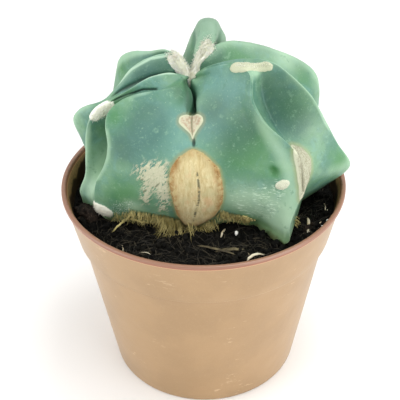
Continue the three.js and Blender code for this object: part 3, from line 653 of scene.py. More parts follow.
# the shaded lips of the split at the growing point
SPLIT_LIP_WIDTH = 1.7
SPLIT_LIPS = [
    [(-5.8, 1.2, 97.9), (-4.6, -1.4, 96.8), (-3.9, -4.4, 95.4), (-3.7, -6.8, 94.0), (-4.4, -9.2, 92.4)],
    [(-3.4, -3.0, 93.0), (-3.0, -6.8, 92.8), (-3.3, -9.4, 91.4)]]


def nearest_line(lines):
    return np.min([line_reach(path, width) for width, path in lines], 0)


fold_crease = nearest_line(FOLD_CREASES)
crest_highlight_line = nearest_line([(CREST_LINE_WIDTH, path) for path in CREST_LINES])
highlight_band = nearest_line(PALE_BANDS)
split_lip = nearest_line([(SPLIT_LIP_WIDTH, path) for path in SPLIT_LIPS])

wool_places = {**WOOL_PLACES, **crest_areoles()}
crest_wool = 1 - depth_inside(CREST_WOOL, CREST_WOOL_UNEVEN) / CREST_WOOL_EDGE + 0.1 * fine
wool = np.min([place_reach(points, *place) for place in wool_places.values()], 0) + 0.1 * rough + 0.08 * fine
dimple = place_reach(points, *DIMPLE)
crease = place_reach(points, *CREASE)

# Heights and depths of the relief.
SKIN_SHOWS = (58.0, 61.0)      # from the peat's edge up, where the skin's roughness comes in
SKIN_GRAIN = 0.05
CORK_EDGE, CORK_RIM, CORK_FIBRE = 0.55, 0.4, 0.14
CRACK_DEPTH = 0.5
WEDGE_HEIGHT, WEDGE_GROOVE_DEPTH = 0.4, 0.32
SCRATCH_HEIGHT, SCRATCH_GRAIN = 0.1, 0.18
SCAR_HEIGHT, SCAR_RIB, SCAR_GROOVE_DEPTH = 0.5, 0.2, 0.5
FOLD_DEPTH = 0.6
CREST_LINE_HEIGHT = 0.12
DIMPLE_DEPTH, CREASE_DEPTH = 0.9, 0.6


def cushion(reach):
    """A round top: 1 in the middle of a place and 0 from its edge on."""
    return np.sqrt(np.clip(1 - reach ** 2, 0, 1))


def plateau(reach, edge):
    return smoothstep(1.0, 1.0 - edge, reach)


def relief():
    """How far the skin stands out, in millimetres."""
    height = SKIN_GRAIN * rough * smoothstep(*SKIN_SHOWS, points[:, 2])
    height = height + WOOL_HEIGHT * cushion(wool) + CREST_WOOL_HEIGHT * cushion(np.maximum(crest_wool, 0))
    fibres = noise_at(np.stack([x, x * 0, rise * 0.16], -1), 1.3, 3, 2.0)
    bark = CORK_EDGE + CORK_RIM * smoothstep(2.6, 0.9, marks["cork"]) + CORK_FIBRE * fibres
    bark = bark - CRACK_DEPTH * smoothstep(0.9, 0.2, marks["crack"]) * (0.6 + 0.4 * fine)
    height = height + smoothstep(0, 1.1, marks["cork"]) * bark
    wedge = WEDGE_HEIGHT - WEDGE_GROOVE_DEPTH * smoothstep(1.0, 0.2, marks["wedge_groove"])
    height = height + smoothstep(0, 0.8, marks["wedge"]) * wedge
    height = height + smoothstep(0, 1.6, marks["scratch"]) * (SCRATCH_HEIGHT + SCRATCH_GRAIN * fine)
    ribs = noise_at(points * (1.6, 1.6, 0.25), 1.0, 2, 3.0)
    scar = SCAR_HEIGHT + SCAR_RIB * ribs - SCAR_GROOVE_DEPTH * smoothstep(1.0, 0.2, marks["scar_groove"])
    height = height + smoothstep(0, 0.9, marks["scar"]) * scar
    height = height - FOLD_DEPTH * smoothstep(1.0, 0.0, fold_crease)
    height = height + CREST_LINE_HEIGHT * smoothstep(1.0, 0.0, crest_highlight_line)
    return height - DIMPLE_DEPTH * plateau(dimple, 0.9) - CREASE_DEPTH * plateau(crease, 0.8)


def softened(values, passes):
    """Values on the skin's grid, smoothed round and along it."""
    grid = values.reshape(SKIN_COLUMNS, SKIN_ROWS, -1)
    for _ in range(passes):
        grid = (np.roll(grid, 1, 0) + 2 * grid + np.roll(grid, -1, 0)) / 4
        grid[:, 1:-1] = (grid[:, :-2] + 2 * grid[:, 1:-1] + grid[:, 2:]) / 4
    return grid.reshape(values.shape)


def bulge(passes):
    """How far the skin stands out from its own smoothed form: above 0 on ridges, below 0 in hollows."""
    return ((points - softened(points, passes)) * normals).sum(-1)


# Soft patches of colour, each a middle and a radius. The deep and shade patches are painted shade.
SPOTS = {
    "green": [((-6.2, -5.5, 96.3), 3), ((2.5, 7, 99.5), 4.5), ((-5.2, -2, 96.5), 2.6),
        ((39.4, -6, 74.5), 4), ((19.2, -22, 80.8), 2.6), ((-24, -10, 92), 3.2), ((25, -8, 92), 5),
        ((13, -19, 90), 6), ((13, -20, 62), 6), ((6.7, 9, 101.6), 3), ((0, 20, 98), 8), ((-22, -16, 70), 6),
        ((28.6, 13, 92), 3.5), ((10, -18, 84), 6), ((-24, 17, 93), 3), ((3, 7.5, 100.4), 4.5),
        ((8, 7, 100.4), 4.5), ((13, 6, 99.6), 4), ((1, 6.6, 99.9), 3.5)],
    "blue": [((-9, -11, 92), 6), ((-5, -17, 84), 5), ((3, -14, 90), 5), ((21, -9, 88), 5),
        ((-16, 5, 96), 6), ((4, -5, 99), 5), ((-15, -15, 87), 6), ((8, -10, 100), 4)],
    # painted shade: the deep patches darken crevices, hollows and the tops that the light from above falls on
    "deep": [((-6, -5, 96.3), 3), ((-14, -11, 92.5), 5), ((19.6, -8, 100), 6), ((20, -8, 92), 7),
        ((26.8, -9, 89), 4.5), ((-16, -14, 88), 7), ((-22.5, -14, 84), 4), ((-3.3, 0, 93), 2.4),
        ((-3, -6.5, 93), 2.2), ((8, -17, 88), 6), ((13, -16, 93), 4), ((2, 6.6, 99.6), 4),
        ((-12, 6.4, 98), 5), ((-17, 6, 96.5), 4), ((3.4, -11, 95), 5), ((1, 24, 112), 9), ((1, 34, 102), 7),
        ((2, 16, 111), 7.5), ((3, 8, 100.6), 3.5)],
    "pale": [((-20, -17, 66), 3), ((17, -21, 69), 6), ((10, -20.5, 71), 5), ((-27, -3, 76), 3.4),
        ((-29, -6, 72), 3.6), ((-31.5, -8, 68), 3.6), ((35, -13, 88), 6), ((21, -23, 66), 5.5),
        ((24, 15, 96), 5)],
    "shade": [((2, 16, 108), 8), ((1, 26, 104), 8), ((18, 14, 103), 6), ((30, 14, 96), 5)],
}


def spots(places):
    field = np.zeros(len(points))
    for at, radius in places:
        field += np.exp(-((points - np.array(at)) ** 2).sum(-1) / radius ** 2)
    return np.clip(field, 0, 1)


RIDGE_PASSES, RIDGE_BULGE = 10, 0.16
HOLLOW_PASSES, HOLLOW_DEPTH = 120, 1.6
skin_fields = {
    # the ridge field drives a painted highlight on the ridges, the hollow field painted shade in the hollows
    "ridge": np.clip(bulge(RIDGE_PASSES) / RIDGE_BULGE, -1, 1),
    "hollow_shade": np.clip(-bulge(HOLLOW_PASSES) / HOLLOW_DEPTH, -1, 1),
    **{name: spots(places) for name, places in SPOTS.items()},
    **marks,
    "scar_left": scar_left,
    "wool": np.minimum(wool, crest_wool),
    "crease": np.minimum(crease, fold_crease + 0.15),
    "crest_highlight_line": crest_highlight_line,
    "highlight_band": highlight_band,
    "split_lip": split_lip,
    "dimple": dimple,
}
skin_points = points + normals * relief()[:, None]


def plain_skin(s, mottle, grain):
    """Blue-green skin with a painted highlight, paler on its ridges, along its crests and its ridge edges,
    and painted shade, deeper in its hollows, its deep and shade patches and on the lips of its split, with
    its patches of colour.
    """
    cloud = s.noise(0.3, 4.0, 0.6, distortion=0.5)
    flecks = s.times(s.step(s.cells(0.9), 0.2, 0.06), s.step(grain, 0.45, 0.6))
    return s.coat(s.blend(s.step(s.noise(0.13, 2.0), 0.38, 0.6), (84, 128, 108), (108, 148, 118)), [
        (s.step(cloud, 0.5, 0.66), 0.4, (82, 132, 86)),
        (s.step(cloud, 0.48, 0.34), 0.35, (108, 154, 148)),
        (s.field("blue"), 0.7, (98, 146, 138)),
        (s.field("green"), 0.75, (66, 124, 68)),
        # painted shade in the deep patches
        (s.field("deep"), 0.6, (50, 88, 78)),
        (s.field("pale"), 0.6, (180, 210, 180)),
        # painted highlight along the ridge edges
        (s.step(s.field("highlight_band"), 1.0, 0.0), 0.42, (182, 214, 182)),
        # painted shade in the hollows, then a painted highlight on the ridges
        (s.step(s.field("hollow_shade"), 0.1, 1.0), 0.4, (60, 102, 86)),
        (s.step(s.field("ridge"), 0.1, 1.0), 0.55, (172, 206, 174)),
        (s.field("shade"), 0.4, (88, 116, 98)),
        (s.step(mottle, 0.42, 0.3), 0.4, (70, 116, 92)),
        (s.step(mottle, 0.56, 0.72), 0.3, (142, 180, 150)),
        (flecks, 0.3, (170, 196, 166)),
        (s.step(grain, 0.55, 0.75), 0.14, (176, 204, 174)),
        # painted highlight along the crests, then painted shade on the lips of the split
        (s.step(s.field("crest_highlight_line"), 1.0, 0.3), 0.6, (186, 216, 190)),
        (s.step(s.field("split_lip"), 1.0, 0.2), 0.75, (36, 78, 52)),
        (s.step(s.field("dimple"), 1.0, 0.2), 0.7, (46, 108, 48))])


def scratches_and_glints(s, color, grain, diagonal, streaks):
    """Scratches of pale dry skin and painted glints over the colour, and where the scratches are."""
    depth = s.field("scratch")
    torn = s.add(streaks, s.times(s.step(depth, -0.4, 3.0), 0.18))
    dry = s.times(s.step(depth, -1.4, 0.6), s.step(torn, 0.49, 0.57))
    pits = s.step(s.cells(0.4, place=diagonal), 0.22, 0.1)
    dry_color = s.coat(s.blend(grain, (156, 160, 128), (208, 206, 180)), [(pits, 0.7, (84, 96, 66))])
    low = s.times(s.step(s.field("low_scratch"), -0.4, 1.2), s.step(s.noise(2.4, 4.0, 0.7), 0.52, 0.6))
    # painted glints: pale sparkles over the lower front
    shine = s.times(s.step(s.field("glints"), -0.6, 1.6),
                    s.step(s.noise(1.0, 4.0, 0.7, place=s.stretch((0.6, 1.0, 2.2))), 0.53, 0.62))
    color = s.mix(dry, color, dry_color)
    return s.coat(color, [(low, 0.8, (208, 224, 208)), (shine, 0.7, (208, 230, 208))]), dry


def scars(s, color):
    """The two grey-cream scars over the colour, and where they are."""
    depth = s.field("scar")
    scar = s.step(depth, 0.0, 0.35)
    cracks = s.step(s.cells(1.5, "DISTANCE_TO_EDGE", place=s.stretch((1, 1, 0.6))), 0.14, 0.0)
    rim = s.times(s.step(depth, 1.3, 0.5), s.field("scar_left"))
    scar_color = s.coat(s.blend(s.noise(0.9, 4.0), (160, 160, 136), (194, 194, 170)), [
        (cracks, 0.55, (128, 122, 100)),
        (rim, 0.8, (212, 216, 188)),
        (s.step(s.field("scar_groove"), 1.0, 0.2), 0.6, (98, 96, 72))])
    color = s.mix(scar, s.coat(color, [(s.step(depth, -1.2, 0.0), 0.4, (170, 166, 112))]), scar_color)
    depth = s.field("wedge")
    wedge = s.step(depth, 0.0, 0.3)
    wedge_color = s.blend(s.step(s.noise(1.1, 4.0, 0.7), 0.35, 0.65), (172, 150, 126), (194, 190, 164))
    wedge_color = s.mix(s.step(depth, 0.8, 0.35), wedge_color, tint(198, 200, 170))
    wedge_color = s.coat(wedge_color, [(s.step(s.field("wedge_groove"), 1.0, 0.2), 0.5, (120, 128, 96))])
    color = s.mix(wedge, s.coat(color, [(s.step(depth, -1.1, 0.0), 0.4, (150, 140, 96))]), wedge_color)
    return color, scar, wedge


def cork_patch(s, color, across, uneven, long_grain):
    """The tan cork over the colour, with its brown rim and dotted crack, and where it is."""
    depth = s.field("cork")
    mask = s.step(depth, 0.0, 0.4)
    peach = s.step(s.noise(0.4, 3.0, place=s.stretch((1.0, 0.4, 0.5))), 0.52, 0.7)
    sides = s.step(s.math("ABSOLUTE", s.add(across, 2.0)), 3.2, 5.6)
    rim = s.times(s.step(depth, 2.8, 0.6), s.step(s.noise(0.4, 5.0, 0.65), 0.38, 0.56))
    edge = s.times(s.step(depth, 1.7, 0.4), s.step(s.noise(1.2, 4.0, 0.7), 0.54, 0.62))
    foot = s.times(s.step(uneven, 68.0, 63.5), s.step(depth, 3.0, 0.3))
    dots = s.times(s.step(s.field("crack"), 1.0, 0.3),
                   s.step(s.noise(1.4, 3.0, place=s.stretch((0.4, 0.4, 1.0))), 0.42, 0.52))
    cork_color = s.coat(s.blend(s.step(long_grain, 0.3, 0.7), (178, 156, 104), (212, 200, 156)), [
        (s.step(s.noise(0.28, 3.0), 0.45, 0.7), 0.5, (184, 180, 136)),
        (peach, 0.5, (210, 172, 130)),
        (s.step(depth, 3.4, 0.4), 0.5, (166, 142, 90)),
        (s.times(rim, sides), 0.8, (146, 104, 48)),
        (edge, 0.75, (112, 72, 34)),
        (foot, 0.6, (96, 66, 36)),
        (dots, 0.75, (84, 88, 66))])
    return s.mix(mask, s.coat(color, [(s.step(depth, -1.0, 0.1), 0.5, (146, 140, 82))]), cork_color), mask


def wool_felt(s, grain, across, height):
    """The felt under the hairs, with painted light and shade: brightest on the left, duller on the crest and
    the right.
    """
    felt = s.blend(grain, (192, 196, 172), (214, 216, 194))
    # painted light: brighter felt on the left, where the pads lie in shade
    felt = s.mix(s.step(across, 5.0, -5.0), felt, s.blend(grain, (230, 232, 214), (246, 246, 234)))
    # painted shade: duller felt high up, where the light from above falls
    return s.mix(s.step(height, 98.0, 102.0), felt, s.blend(grain, (172, 178, 148), (196, 200, 170)))


def skin_material():
    s = Shader("cactus_skin")
    mottle = s.noise(0.55, 4.0, 0.65)
    grain = s.noise(2.2, 3.0, 0.7)
    split = s.node("ShaderNodeSeparateXYZ", {0: s.place}).outputs
    across, height = split[0], split[2]
    turned = s.node("ShaderNodeMapping", {"Vector": s.place, "Rotation": (0, math.radians(50), 0)}).outputs[0]
    diagonal = s.stretch((0.32, 1.0, 1.3), place=turned)
    streaks = s.noise(1.5, 4.0, 0.6, place=diagonal, distortion=0.5)
    long_grain = s.noise(1.2, 6.0, 0.75, place=s.stretch((1.0, 0.4, 0.26)), distortion=0.8)
    # the skin turns olive near the peat, with a brown line where they meet
    uneven = s.add(height, s.times(mottle, 4.0))
    color = s.coat(plain_skin(s, mottle, grain), [
        (s.step(uneven, 66.6, 62.0), 0.4, (112, 138, 70)), (s.step(uneven, 62.4, 60.2), 0.8, (82, 84, 44))])
    color, dry = scratches_and_glints(s, color, grain, diagonal, streaks)
    color, scar, wedge = scars(s, color)
    color, cork_mask = cork_patch(s, color, across, uneven, long_grain)
    color = s.mix(s.step(s.field("wool"), 1.02, 0.9), color, wool_felt(s, grain, across, height))
    # painted shade: dark colour down in the creases
    color = s.coat(color, [(s.step(s.field("crease"), 1.0, 0.25), 0.85, (26, 52, 42))])
    dry_all = s.math("MAXIMUM", s.math("MAXIMUM", cork_mask, scar), s.math("MAXIMUM", wedge, dry))
    roughness = s.math("ADD", s.add(s.times(dry_all, 0.35), s.times(mottle, 0.3)), 0.36, clamp=True)
    texture = s.add(s.times(grain, 0.3), s.times(s.times(dry_all, long_grain), 1.4))
    texture = s.math("SUBTRACT", texture, s.times(dry_all, s.times(streaks, 0.5)))
    return s.finish(color, roughness, s.bump(texture, 0.35, 0.6))


def skin_faces():
    """The closed surface: the root tip, the rows from the lowest to the highest, the growing point."""
    inner = skin_points.reshape(SKIN_COLUMNS, SKIN_ROWS, 3)[:, 1:-1]
    rings = [inner[:, row] for row in reversed(range(SKIN_ROWS - 2))]
    return closed_rings(ROOT_TIP, rings, GROWING_POINT)


def ringed(values):
    """Values of the skin's grid in the order of the closed surface's points."""
    grid = np.asarray(values).reshape(SKIN_COLUMNS, SKIN_ROWS)
    return np.concatenate([[grid[0, -1]], grid[:, 1:-1][:, ::-1].T.ravel(), [grid[0, 0]]])


def add_skin():
    closed, faces = skin_faces()
    fields = {name: ringed(values) for name, values in skin_fields.items()}
    plant = add_piece("plant", closed, faces, skin_material(), fields)
    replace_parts(plant, "cactus_body")
    return closed, faces


plant_points, plant_faces = add_skin()
plant_tree = BVHTree.FromPolygons(plant_points.tolist(), plant_faces)

# Pot

POT_HEIGHT = 65.0
COLLAR_FOOT = 49.2
FLOOR = 1.6
POT_SIDES = 192
CORNER_STEPS = 5
LONGEST_SPAN = 3.0
# radius, height and how far each corner is rounded, up the outside and down the inside
POT_CORNERS = [
    (0, 0, 0), (29.6, 0, 0.8), (37.6, 48.9, 0.3), (38.8, 49.25, 0.35), (41.75, 63.5, 0.25),
    (42.45, 63.75, 0.3), (42.45, POT_HEIGHT, 0.5), (41.2, POT_HEIGHT, 0.45), (40.3, 62.4, 0.8),
    (37.85, 50.6, 1.2), (36.4, 49.0, 1.2), (28.8, FLOOR, 1.0), (0, FLOOR, 0)]
INNER_CORNERS = POT_CORNERS[8:-1]      # from under the lip down to the floor
UNEVEN = 0.06              # how far the lip stands off a true circle
# heights of the lip's foot, its painted highlight line, its redder side and the collar's painted highlight
# edge
LIP_FOOT = 63.6
LIP_HIGHLIGHT = 63.9
LIP_SIDE = 64.3
COLLAR_HIGHLIGHT = (48.5, 49.5)
DRAIN_HOLES = 6
DRAIN_RADIUS = 3.0
DRAIN_SIDES = 32
DRAIN_RING_RADIUS = 19.0


def rounded_profile(corners):
    """The profile with its corners rounded and its long stretches divided."""
    profile = [corners[0][:2]]
    for before, corner, after in zip(corners, corners[1:], corners[2:]):
        at = Vector(corner[:2])
        back = (Vector(before[:2]) - at).normalized() * corner[2]
        ahead = (Vector(after[:2]) - at).normalized() * corner[2]
        for step in range(CORNER_STEPS):
            t = step / (CORNER_STEPS - 1)
            profile.append(tuple(at + back * (1 - t) ** 2 + ahead * t ** 2))
    profile.append(corners[-1][:2])
    dense = [profile[0]]
    for start, end in zip(profile, profile[1:]):
        pieces = max(1, math.ceil(math.dist(start, end) / LONGEST_SPAN))
        dense += [tuple(Vector(start).lerp(Vector(end), k / pieces)) for k in range(1, pieces + 1)]
    return dense


def out_of_round(angle, height):
    """The small unevenness of a thin moulded wall."""
    share = height / POT_HEIGHT
    return UNEVEN * share * (math.sin(2 * angle + 0.6) + 0.5 * math.sin(5 * angle + 2) - 1.0)


def pot_material():
    s = Shader("pot_plastic")
    height = s.height()
    facing = s.vector("DOT_PRODUCT", s.node("ShaderNodeTexCoord").outputs["Normal"], s.stretch((1, 1, 0)))
    cloud = s.noise(0.06, 3.0)
    grain = s.noise(1.6, 4.0, 0.7)
    lip = s.step(height, LIP_FOOT, LIP_FOOT + 0.2)
    lip_side = s.step(height, LIP_SIDE + 0.3, LIP_SIDE)
    lip_highlight = s.step(height, LIP_HIGHLIGHT + 0.15, LIP_HIGHLIGHT)
    # the inside is painted dark, as shade with some peat stain, up to an uneven line below the lip
    within = s.times(s.step(facing, 0.0, -8.0), s.step(height, 2.0, 4.0))
    shade_and_stain_line = s.add(height, s.times(s.noise(0.12, 4.0, 0.65), 8.0))
    # scuffs with painted glints: their lighter colour is a painted highlight, their roughness and bump are
    # the scuffs
    scuffs_and_glints = s.times(s.step(s.noise(0.5, 5.0, 0.7, place=s.stretch((0.5, 0.5, 1.6))), 0.58, 0.66),
                     s.step(s.noise(0.09, 2.0), 0.56, 0.66))
    # painted highlight along the collar's edge
    low, high = COLLAR_HIGHLIGHT
    collar = s.times(s.step(height, low, low + 0.4), s.step(height, high, high - 0.4))
    dust = s.times(s.step(s.noise(0.9, 5.0, 0.75), 0.56, 0.7), s.step(height, 46.0, 52.0))
    color = s.coat(s.blend(s.step(cloud, 0.35, 0.65), (156, 123, 81), (164, 130, 87)), [
        (s.step(grain, 0.5, 0.72), 0.2, (186, 158, 116)),
        (lip, 0.9, (140, 98, 78)),
        (s.times(lip_side, lip), 0.6, (150, 84, 56)),
        # painted highlight line along the lip's lower edge
        (s.times(lip_highlight, lip), 0.7, (226, 176, 126)),
        # painted shade inside the pot, partly peat stain; then dark specks of dirt
        (s.times(within, s.step(shade_and_stain_line, 66.4, 65.2)), 0.92, (32, 21, 13)),
        (s.times(within, s.step(s.noise(1.2, 4.0, 0.7), 0.55, 0.62)), 0.6, (44, 28, 18)),
        (scuffs_and_glints, 0.45, (222, 194, 158)),
        (s.times(collar, s.step(cloud, 0.4, 0.55)), 0.45, (222, 190, 150)),
        (dust, 0.15, (130, 96, 70))])
    roughness = s.add(s.add(s.times(grain, 0.14), 0.26), s.times(scuffs_and_glints, 0.15))
    texture = s.add(s.times(grain, 0.3), s.times(scuffs_and_glints, 0.6))
    waves = s.bump(s.noise(0.1, 2.0), 0.5, 0.4, below=s.bump(texture, 0.12, 0.5))
    return s.finish(color, roughness, waves, Specular_IOR_Level=0.8)


def drain_cutter():
    """Round plugs on a ring, one for each hole, as one mesh."""
    points, faces = [], []
    for hole in range(DRAIN_HOLES):
        middle = polar(DRAIN_RING_RADIUS, (hole + 0.5) * TAU / DRAIN_HOLES)
        lower = range(len(points), len(points) + DRAIN_SIDES)
        faces += ring_faces(2, DRAIN_SIDES, len(points))
        faces += [tuple(reversed(lower)), tuple(index + DRAIN_SIDES for index in lower)]
        for height in (-2 * FLOOR, 2 * FLOOR):
            points += [(*polar(DRAIN_RADIUS, side * TAU / DRAIN_SIDES, middle), height)
                       for side in range(DRAIN_SIDES)]
    mesh = bpy.data.meshes.new("drain_cutter")
    mesh.from_pydata((np.array(points) * MM).tolist(), [], faces)
    cutter = bpy.data.objects.new("drain_cutter", mesh)
    bpy.context.scene.collection.objects.link(cutter)
    return cutter


def cut_drains(pot):
    cutter = drain_cutter()
    cut = pot.modifiers.new("holes", "BOOLEAN")
    cut.object = cutter
    cut.operation = "DIFFERENCE"
    cut.solver = "EXACT"
    evaluated = pot.evaluated_get(bpy.context.evaluated_depsgraph_get())
    pot.data = bpy.data.meshes.new_from_object(evaluated)
    pot.modifiers.clear()
    bpy.data.objects.remove(cutter)


def add_pot():
    turns = np.arange(POT_SIDES) * TAU / POT_SIDES
    rings = [[(*polar(radius + out_of_round(turn, height), turn), height) for turn in turns]
             for radius, height in rounded_profile(POT_CORNERS)[1:-1]]
    points, faces = closed_rings((0, 0, 0), rings, (0, 0, FLOOR))
    pot = add_piece("growers_pot", points, faces, pot_material())
    cut_drains(pot)
    pot.data.set_sharp_from_angle(angle=math.radians(50))
    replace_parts(pot, "pot")


add_pot()

# Soil

SOIL_EDGE = 58.0
SOIL_CROWN = 1.2
# each wave of the peat's surface: its turn per millimetre across and deep, its shift and its height
LUMP_WAVES = ((0.55, 0.62, 0.4, 0.22), (0.95, -0.7, 2.0, 0.2), (-0.8, 1.3, 4.1, 0.16))
# low mounds in the peat's surface
MOUNDS = ((-34, -11), (10, -31), (29, -22), (-8, 38), (33, 19), (-27, 27))
MOUND_HEIGHT = 1.4
MOUND_RADIUS = 6.0
SOIL_GAP = 0.15
SOIL_SIDES = 440
SOIL_RINGS = 96
SOIL_INNER = 9.0
SOIL_SEAT = 0.3            # how far the peat lies above the pot's floor
SOIL_FOOT = 27.0           # the radius of its flat foot
SOIL_FOOT_RISE = 1.5
SOIL_BEND = 4.0            # its foot turns into its side near this height
COLLAR_BEND = 51.5         # from here up its side lies in the collar
CRUMB_HEIGHT, WAVE_HEIGHT = 0.55, 0.35
CRUMB_SINK = 0.3           # how far the crumbly surface lies under the main form
ABOVE_PEAT = 80.0


def inner_wall(height):
    """The pot's inner radius at a height, from the same corners as its profile."""
    inside = sorted((z, r) for r, z, _ in INNER_CORNERS)
    return float(np.interp(height, [z for z, _ in inside], [r for _, r in inside]))


def soil_side(height):
    """How far out the peat reaches at a height."""
    return inner_wall(height) - SOIL_GAP


SOIL_RADIUS = soil_side(SOIL_EDGE)


def soil_height(px, py):
    """The main form of the peat's surface, as arrays or numbers."""
    crown = SOIL_CROWN * np.maximum(0, 1 - (px * px + py * py) / SOIL_RADIUS ** 2)
    height = SOIL_EDGE + crown
    for across, deep, shift, size in LUMP_WAVES:
        height = height + size * np.sin(across * px + deep * py + shift)
    for cx, cy in MOUNDS:
        distance = ((px - cx) ** 2 + (py - cy) ** 2) / MOUND_RADIUS ** 2
        height = height + MOUND_HEIGHT * np.maximum(0, 1 - distance) ** 2
    return height


def peat_material(name, dark, light, spark):
    s = Shader(name)
    clump = s.noise(0.35, 4.0, 0.7)
    strands = s.noise(1.0, 5.0, 0.75, place=s.stretch((2.6, 0.8, 1.0)), distortion=1.2)
    base = s.blend(s.step(clump, 0.35, 0.7), dark, light)
    color = s.coat(base, [(s.step(strands, 0.56, 0.68), 0.5, spark)])
    roughness = s.step(strands, 0.3, 0.7, 1.0, 0.6)
    return s.finish(color, roughness, s.bump(s.add(clump, strands), 0.6, 0.8), Specular_IOR_Level=0.15)


def add_soil():
    turns = np.arange(SOIL_SIDES) * TAU / SOIL_SIDES
    circle = np.stack([np.cos(turns), np.sin(turns)], -1)

    def level(radius, height):
        return np.concatenate([circle * radius, np.full((SOIL_SIDES, 1), height)], 1)

    floor = FLOOR + SOIL_SEAT
    collar = COLLAR_FOOT - 0.6
    rings = [level(SOIL_FOOT, floor), level(soil_side(SOIL_BEND), floor + SOIL_FOOT_RISE),
             level(soil_side(collar), collar), level(soil_side(COLLAR_BEND), COLLAR_BEND)]
    for radius in np.linspace(SOIL_RADIUS, SOIL_INNER, SOIL_RINGS):
        flat = circle * radius
        at = np.concatenate([flat, np.zeros((SOIL_SIDES, 1))], 1)
        crumbs = CRUMB_HEIGHT * np.abs(noise_at(at, 0.8, 4)) + WAVE_HEIGHT * noise_at(at, 0.3, 2, 9.0)
        height = soil_height(flat[:, 0], flat[:, 1]) + crumbs - CRUMB_SINK
        rings.append(np.concatenate([flat, height[:, None]], 1))
    middle = (0, 0, float(rings[-1][:, 2].mean()))
    points, faces = closed_rings((0, 0, floor), rings, middle)
    peat = peat_material("peat", (5, 5, 4), (19, 17, 12), (46, 42, 30))
    soil = add_piece("peat", points, faces, peat)
    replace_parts(soil, "soil")
    return points, faces


soil_points, soil_faces = add_soil()
soil_tree = BVHTree.FromPolygons(soil_points.tolist(), soil_faces)


def on_soil(px, py):
    """The point of the peat's surface over a place, or None outside it."""
    return soil_tree.ray_cast(Vector((px, py, ABOVE_PEAT)), DOWN)[0]


def clear_of_plant(point, gap):
    """True where a point outside the plant is at least a gap away from its skin."""
    found, normal, _, distance = plant_tree.find_nearest(Vector(point))
    return distance > gap and (Vector(point) - found).dot(normal) > 0


# Strands and lumps


class Parts:
    """Many small closed meshes gathered into one piece."""

    def __init__(self):
        self.points, self.faces, self.count = [], [], 0

    def add(self, points, faces):
        self.points.append(np.asarray(points, float))
        self.faces += [tuple(index + self.count for index in face) for face in faces]
        self.count += len(points)

    def piece(self, name, material, slot):
        return add_piece(name, np.concatenate(self.points), self.faces, material)


STRAND_FACES = {}         # by the number of rings and sides


def add_strand(parts, path, radii, sides=4, flat=1.0, across=(0, 0, 1)):
    """A strand along a path of points. flat below 1 makes it a strip lying square to across."""
    path = np.asarray(path, float)
    ahead = unit(np.gradient(path, axis=0))
    side = unit(np.cross(ahead, across) + 1e-6)
    thick = np.cross(side, ahead)
    turns = np.arange(sides) * TAU / sides
    rings = []
    for at, along_side, along_thick, radius in zip(path[1:-1], side[1:-1], thick[1:-1], radii[1:-1]):
        rings.append(at + radius * (np.outer(np.cos(turns), along_side)
                                    + flat * np.outer(np.sin(turns), along_thick)))
    key = (len(rings), sides)
    if key not in STRAND_FACES:
        STRAND_FACES[key] = closed_faces(*key)
    parts.add(np.concatenate([path[:1], *rings, path[-1:]]), STRAND_FACES[key])


def random_unit():
    return unit(scatter.normal(size=3))


def random_polar(inner_share, reach):
    """A random radius and angle, even over a circle but for an inner share of its area."""
    angle = draw.uniform(0, TAU)
    return math.sqrt(draw.uniform(inner_share, 1)) * reach, angle


def tapered(count, radius, tip=0.25):
    """Radii along a strand: fullest near its middle and thinner towards its tips."""
    t = np.linspace(0, 1, count)
    return radius * (tip + (1 - tip) * np.sin(np.pi * np.clip(t * 0.86 + 0.1, 0, 1)))


def bent_path(start, end, sag, steps, wobble=0.0):
    """Points along a bow from start to end that stands off by sag in its middle, shaken by wobble."""
    start, end = np.array(start, float), np.array(end, float)
    t = np.linspace(0, 1, steps)[:, None]
    path = start + (end - start) * t + np.array(sag, float) * 4 * t * (1 - t)
    if wobble:
        path[1:-1] += scatter.normal(size=(steps - 2, 3)) * wobble
    return path


def lump_shape(level):
    """A sphere's points and triangles, from Blender's icosphere."""
    ball = bmesh.new()
    bmesh.ops.create_icosphere(ball, subdivisions=level, radius=1)
    ball.verts.ensure_lookup_table()
    points = np.array([v.co for v in ball.verts])
    faces = [tuple(v.index for v in f.verts) for f in ball.faces]
    ball.free()
    return points, faces


LUMPS = {level: lump_shape(level) for level in (1, 2, 3)}


def add_lump(parts, at, half, level, uneven=0.35, scale=1.3):
    """A lump with three half sizes, turned a random way."""
    points, faces = LUMPS[level]
    offset = draw.uniform(0, 50)
    swell = 1 + uneven * noise_at(points, scale, 2, offset)
    turn = Matrix.Rotation(draw.uniform(0, TAU), 3, Vector(random_unit()))
    shaped = (points * swell[:, None] * half) @ np.array(turn).T
    parts.add(shaped + np.array(at), faces)


# Wool

WOOL_MIDDLE = (-3.4, 5.4)
WOOL_RADIUS = 2.9
# each arm of the pad: its direction in degrees, how far it reaches and how wide it is
WOOL_ARMS = ((146, 5.2, 24), (45, 6.8, 22))
LONGEST_ARM = 8.0          # no arm reaches farther out of the middle
PAD_SIDES = 120
PAD_RINGS = 16
PAD_THICKNESS = 1.2
PAD_FULLNESS = 1.02       # above 1, so that a low edge is left
PAD_LUMPS = 0.35
PAD_DEPTH = 0.5           # how far its underside lies inside the skin
SEAT_PASSES = 6
HAIR_RADIUS = 0.045
HAIR_STEPS = 5
HAIR_ROOT = 0.12          # how far a hair starts inside the skin
HAIR_CURL = 0.3
HAIR_LENGTHS = (0.5, 1.2)
HAIR_RADII = (0.7, 1.3)
# each tuft: how many hairs, their length and how far they lean
APEX_TUFT = (2300, 1.0, 1.5)
TUFTS = {"crest": (360, 0.35, 2.0), "left": (420, 0.7, 1.3), "low": (260, 0.5, 1.0), "small": (90, 0.4, 1.1)}
TUFT_SPREAD = 1.02
ABOVE_PLANT = 130.0


